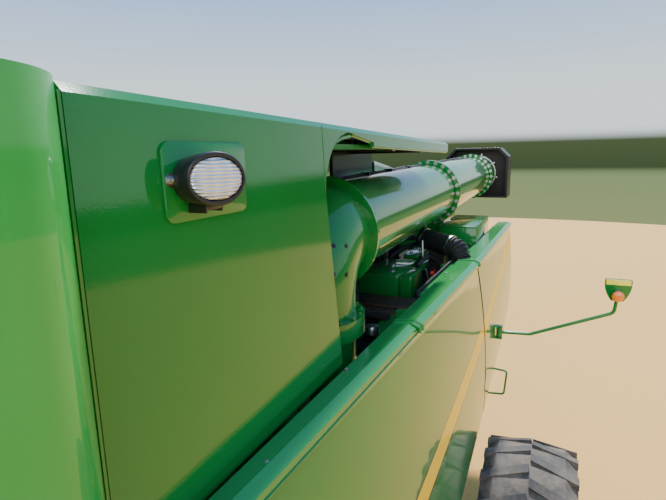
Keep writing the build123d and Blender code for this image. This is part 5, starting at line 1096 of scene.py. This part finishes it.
for hand, side in SIDES:
    body = "marker_arm_" + hand
    lamp_y = side * LAMP_CENTRE_Y
    route = [(MARKER_X, side * y, z) for y, z in MARKER_ROUTE]
    pipe("marker_tube_" + hand, route, 0.014, green_enamel, body)
    arm = bmesh.new()
    lathe(arm, route[0], (0, 0, 1), PIN_SHAPE)
    lathe(arm, (MARKER_X, lamp_y, LAMP_CENTRE_Z), (1, 0, 0), HOLDER_SHAPE)
    shape = MARKER_EDGE + [(-y, z) for y, z in reversed(MARKER_EDGE)]
    corners = [(MARKER_X - 0.007, lamp_y + y, LAMP_CENTRE_Z + z) for y, z in shape]
    plate(arm, corners, (0.014, 0, 0), 0.004)
    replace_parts(piece("marker_shape_" + hand, arm, green_enamel, body), body)
    for way, glass, name in ((1, amber_lens, "amber"), (-1, red_lens, "red")):
        centre = (MARKER_X + way * 0.045, lamp_y, LAMP_CENTRE_Z)
        build("marker_lens_" + name + "_" + hand, glass, body, lathe=[(centre, (way, 0, 0), LENS_SHAPE, 32)])
    strip = ((MARKER_X - 0.011, lamp_y - 0.086, 2.545), (MARKER_X + 0.011, lamp_y + 0.086, 2.588), 0.002)
    build("marker_strip_" + hand, painted_light_yellow_reflector, body, box=[strip])

# Cab: a welded frame with dark window posts under a green roof. The roof carries lamps at its front
# edge and a beacon, and inside are the seat, a steering column, a console and a screen on an arm.
finish(black_enamel, "cab_frame", "steering_column", "cab_door", "mirrors")
finish(green_enamel, "cab_roof")
clear = Finish("tinted_glass", IOR=1.45, Transmission_Weight=1.0, Specular_IOR_Level=0.5)
smear = clear.band(clear.noise(0.5, 5.0), 0.45, 0.8)
window_glass = clear.set(
    Base_Color=clear.mix(smear, tone(0.80, 0.88, 0.86), tone(0.70, 0.78, 0.75)), Roughness=smear * 0.03 + 0.01
)
finish(window_glass, "cab_glass", "cab_door_glass")
ROOF_LAMPS_Y = (-0.78, -0.56, -0.20, 0.20, 0.56, 0.78)
lamp_blocks = [((4.10, y - 0.075, 3.615), (4.139, y + 0.075, 3.680), 0.008) for y in ROOF_LAMPS_Y]
build("roof_lamp_housings", black_plastic, box=lamp_blocks)
lamp_faces = [((4.130, y - 0.062, 3.622), (4.146, y + 0.062, 3.673), 0.006) for y in ROOF_LAMPS_Y]
build("roof_lamp_lenses", clear_lens, box=lamp_faces)
beacon_shape = [(0.06, 0.0), (0.06, 0.07), (0.045, 0.10), (0.0, 0.105)]
build("beacon", amber_lens, lathe=[((2.35, 0.70, 3.763), (0, 0, 1), beacon_shape, 32)])
build(
    "wiper",
    black_plastic,
    rod=[((4.05, -0.05, 2.16), (4.056, -0.05, 2.90), 0.008)],
    box=[((4.046, -0.065, 2.50), (4.056, -0.035, 3.15), 0.003)],
)
build(
    "cab_console",
    black_plastic,
    box=[
        ((2.45, -0.62, 2.115), (3.10, -0.34, 2.62), 0.03),
        ((2.60, -0.50, 2.62), (3.20, -0.32, 2.70), 0.03),
        ((3.28, -0.64, 2.88), (3.31, -0.36, 3.10), 0.012),
    ],
    rod=[
        ((3.12, -0.46, 2.66), (3.30, -0.50, 2.95), 0.016),
        ((3.00, -0.41, 2.69), (3.03, -0.41, 2.82), 0.014),
        ((3.025, -0.41, 2.80), (3.04, -0.41, 2.88), 0.028, 16, 0.022),
    ],
)

# Operator's seat: foam cushions in dark cloth on a black pedestal. Each cushion is crowned, and its
# edges are sewn in.
cloth = Finish("seat_cloth", Sheen_Weight=0.4)
warp, weft = cloth.waves("X", 180.0), cloth.waves("Z", 180.0)
seat_cloth = cloth.set(
    Base_Color=cloth.mix(warp * weft, tone(0.030, 0.032, 0.036), tone(0.075, 0.078, 0.085)),
    Roughness=0.85 + weft * 0.1,
    Normal=cloth.relief(warp + weft, 0.0006, 0.6),
)
SLOTS["seat_cloth"] = "seat_fabric"
SEAT_Z = 2.11
FOAM_GRID, FOAM_PRESSURE, FOAM_STEPS, FOAM_ROOM = 0.008, 4.0, 20, 0.008


def worked(pad):
    """The pad's mesh as its modifiers leave it."""
    return bpy.data.meshes.new_from_object(pad.evaluated_get(bpy.context.evaluated_depsgraph_get()))


def swell(pad):
    """Fills a sewn cover with its foam, as cloth under pressure, and holds it within its solid."""
    even = pad.modifiers.new("even", "REMESH")
    even.mode = "VOXEL"
    even.voxel_size = FOAM_GRID
    bpy.context.view_layer.update()
    remeshed = worked(pad)
    pad.modifiers.remove(even)
    pad.data = remeshed
    start = [vert.co.copy() for vert in remeshed.vertices]
    filling = pad.modifiers.new("filling", "CLOTH")
    filling.settings.use_pressure = True
    filling.settings.uniform_pressure_force = FOAM_PRESSURE
    filling.settings.effector_weights.gravity = 0.0
    for step in range(1, FOAM_STEPS + 1):
        bpy.context.scene.frame_set(step)
    filled = worked(pad)
    pad.modifiers.remove(filling)
    for vert, begin in zip(filled.vertices, start):
        move = vert.co - begin
        vert.co = begin + move * min(1.0, FOAM_ROOM / max(move.length, 0.00001))
    pad.data = filled
    filled.shade_smooth()
    bpy.context.scene.frame_set(1)


def cushion(name, low, high, lean):
    """A padded block: a subdivided box whose edges pull in, swollen as cloth over its foam."""
    mesh = bmesh.new()
    low, high = Vector(low), Vector(high)
    half, middle = (high - low) / 2, (low + high) / 2
    bmesh.ops.create_cube(mesh, size=2.0)
    bmesh.ops.subdivide_edges(mesh, edges=mesh.edges[:], cuts=9, use_grid_fill=True)
    for vert in mesh.verts:
        place = vert.co.copy()
        pull = [1 - 0.13 * (place[(i + 1) % 3] ** 4 + place[(i + 2) % 3] ** 4) for i in range(3)]
        vert.co = Vector([place[i] * pull[i] * half[i] for i in range(3)])
    bmesh.ops.rotate(mesh, matrix=Matrix.Rotation(lean, 3, "Y"), verts=mesh.verts)
    bmesh.ops.translate(mesh, vec=middle, verts=mesh.verts)
    made = piece(name, mesh, seat_cloth, crease=80)
    swell(made)
    smooth = made.modifiers.new("smooth", "SUBSURF")
    smooth.levels = smooth.render_levels = 1
    return made


seat_base = cushion("seat_cushion", (2.498, -0.252, SEAT_Z + 0.392), (3.002, 0.252, SEAT_Z + 0.518), 0.0)
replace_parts(seat_base, "operator_seat")
cushion("seat_backrest", (2.392, -0.233, SEAT_Z + 0.508), (2.518, 0.233, SEAT_Z + 1.152), -0.17)
PEDESTAL = [
    ((2.57, -0.20, SEAT_Z + 0.001), (2.93, 0.20, SEAT_Z + 0.10), 0.02),
    ((2.62, -0.15, SEAT_Z + 0.09), (2.88, 0.15, SEAT_Z + 0.34), 0.02),
    ((2.53, -0.22, SEAT_Z + 0.33), (2.97, 0.22, SEAT_Z + 0.395), 0.015),
    ((2.40, -0.13, SEAT_Z + 0.40), (2.47, 0.13, SEAT_Z + 0.75), 0.015),
]
build("seat_pedestal", black_plastic, box=PEDESTAL)

# Platform, guard rails and ladders: green tube and sheet, pressed into round buttons where a boot
# treads, and dustier than the rest of the machine.
tread = Finish("tread_plate", Coat_Roughness=0.2)
tread_dust = dust_cover(tread, 1.0)
raised = tread.band(tread.holes(28.0), 0.36, 0.26)
tread_green = tread.set(
    Base_Color=tread.mix(tread_dust * 0.7 + raised * 0.15, GREEN, DUST),
    Roughness=0.4 + tread_dust * 0.4,
    Coat_Weight=0.6 - tread_dust * 0.5,
    Normal=tread.relief(raised, 0.003, 0.8),
)
finish(tread_green, "platform_left", "entry_ladder", "rear_ladder")

# Feeder house: a sloping green trunk, lifted by two cylinders with bright rods. Inside, four chains
# carry the slats to the front drum, and outside are the drive and the face frame's bolts.
finish(green_enamel, "feeder_house")
finish(worn_steel, "feeder_drum")
finish(green_enamel, "lift_cylinder_barrels")
finish(zinc, "lift_cylinder_rods")


def feeder_floor(x):
    return on_line(x, (3.04, 1.455), (5.09, 0.585))


SLAT_TURN = Matrix.Rotation(math.radians(23), 3, "Y")
chain = bmesh.new()
for y in (-0.55, -0.18, 0.18, 0.55):
    rod(chain, (3.10, y, feeder_floor(3.10) + 0.06), (4.80, y, feeder_floor(4.80) + 0.06), 0.016, 8)
for i in range(9):
    x = 3.16 + i * 0.2
    z = feeder_floor(x) + 0.07
    box(chain, (x - 0.02, -0.64, z - 0.014), (x + 0.02, 0.64, z + 0.014), 0.003, SLAT_TURN)
piece("feeder_chain", chain, worn_steel, "feeder")
face = bmesh.new()
for _, side in SIDES:
    for z in (0.56, 0.75, 0.95, 1.15, 1.36):
        bolt(face, (5.09, side * 0.745, z), (-1, 0, 0), 0.026, 0.014)
    lug = [(5.10, 0.52), (5.14, 0.52), (5.14, 0.62), (5.10, 0.66)]
    plate(face, [(x, side * 0.79, z) for x, z in lug], (0, side * 0.02, 0), 0.003)
piece("face_frame_bolts", face, zinc, "feeder")
build(
    "feeder_drive",
    green_enamel,
    "feeder",
    rod=[((3.02, 0.752, 1.78), (3.02, 0.80, 1.78), 0.11, 32)],
    box=[((4.62, 0.705, 0.82), (4.98, 0.80, 1.10), 0.03)],
)
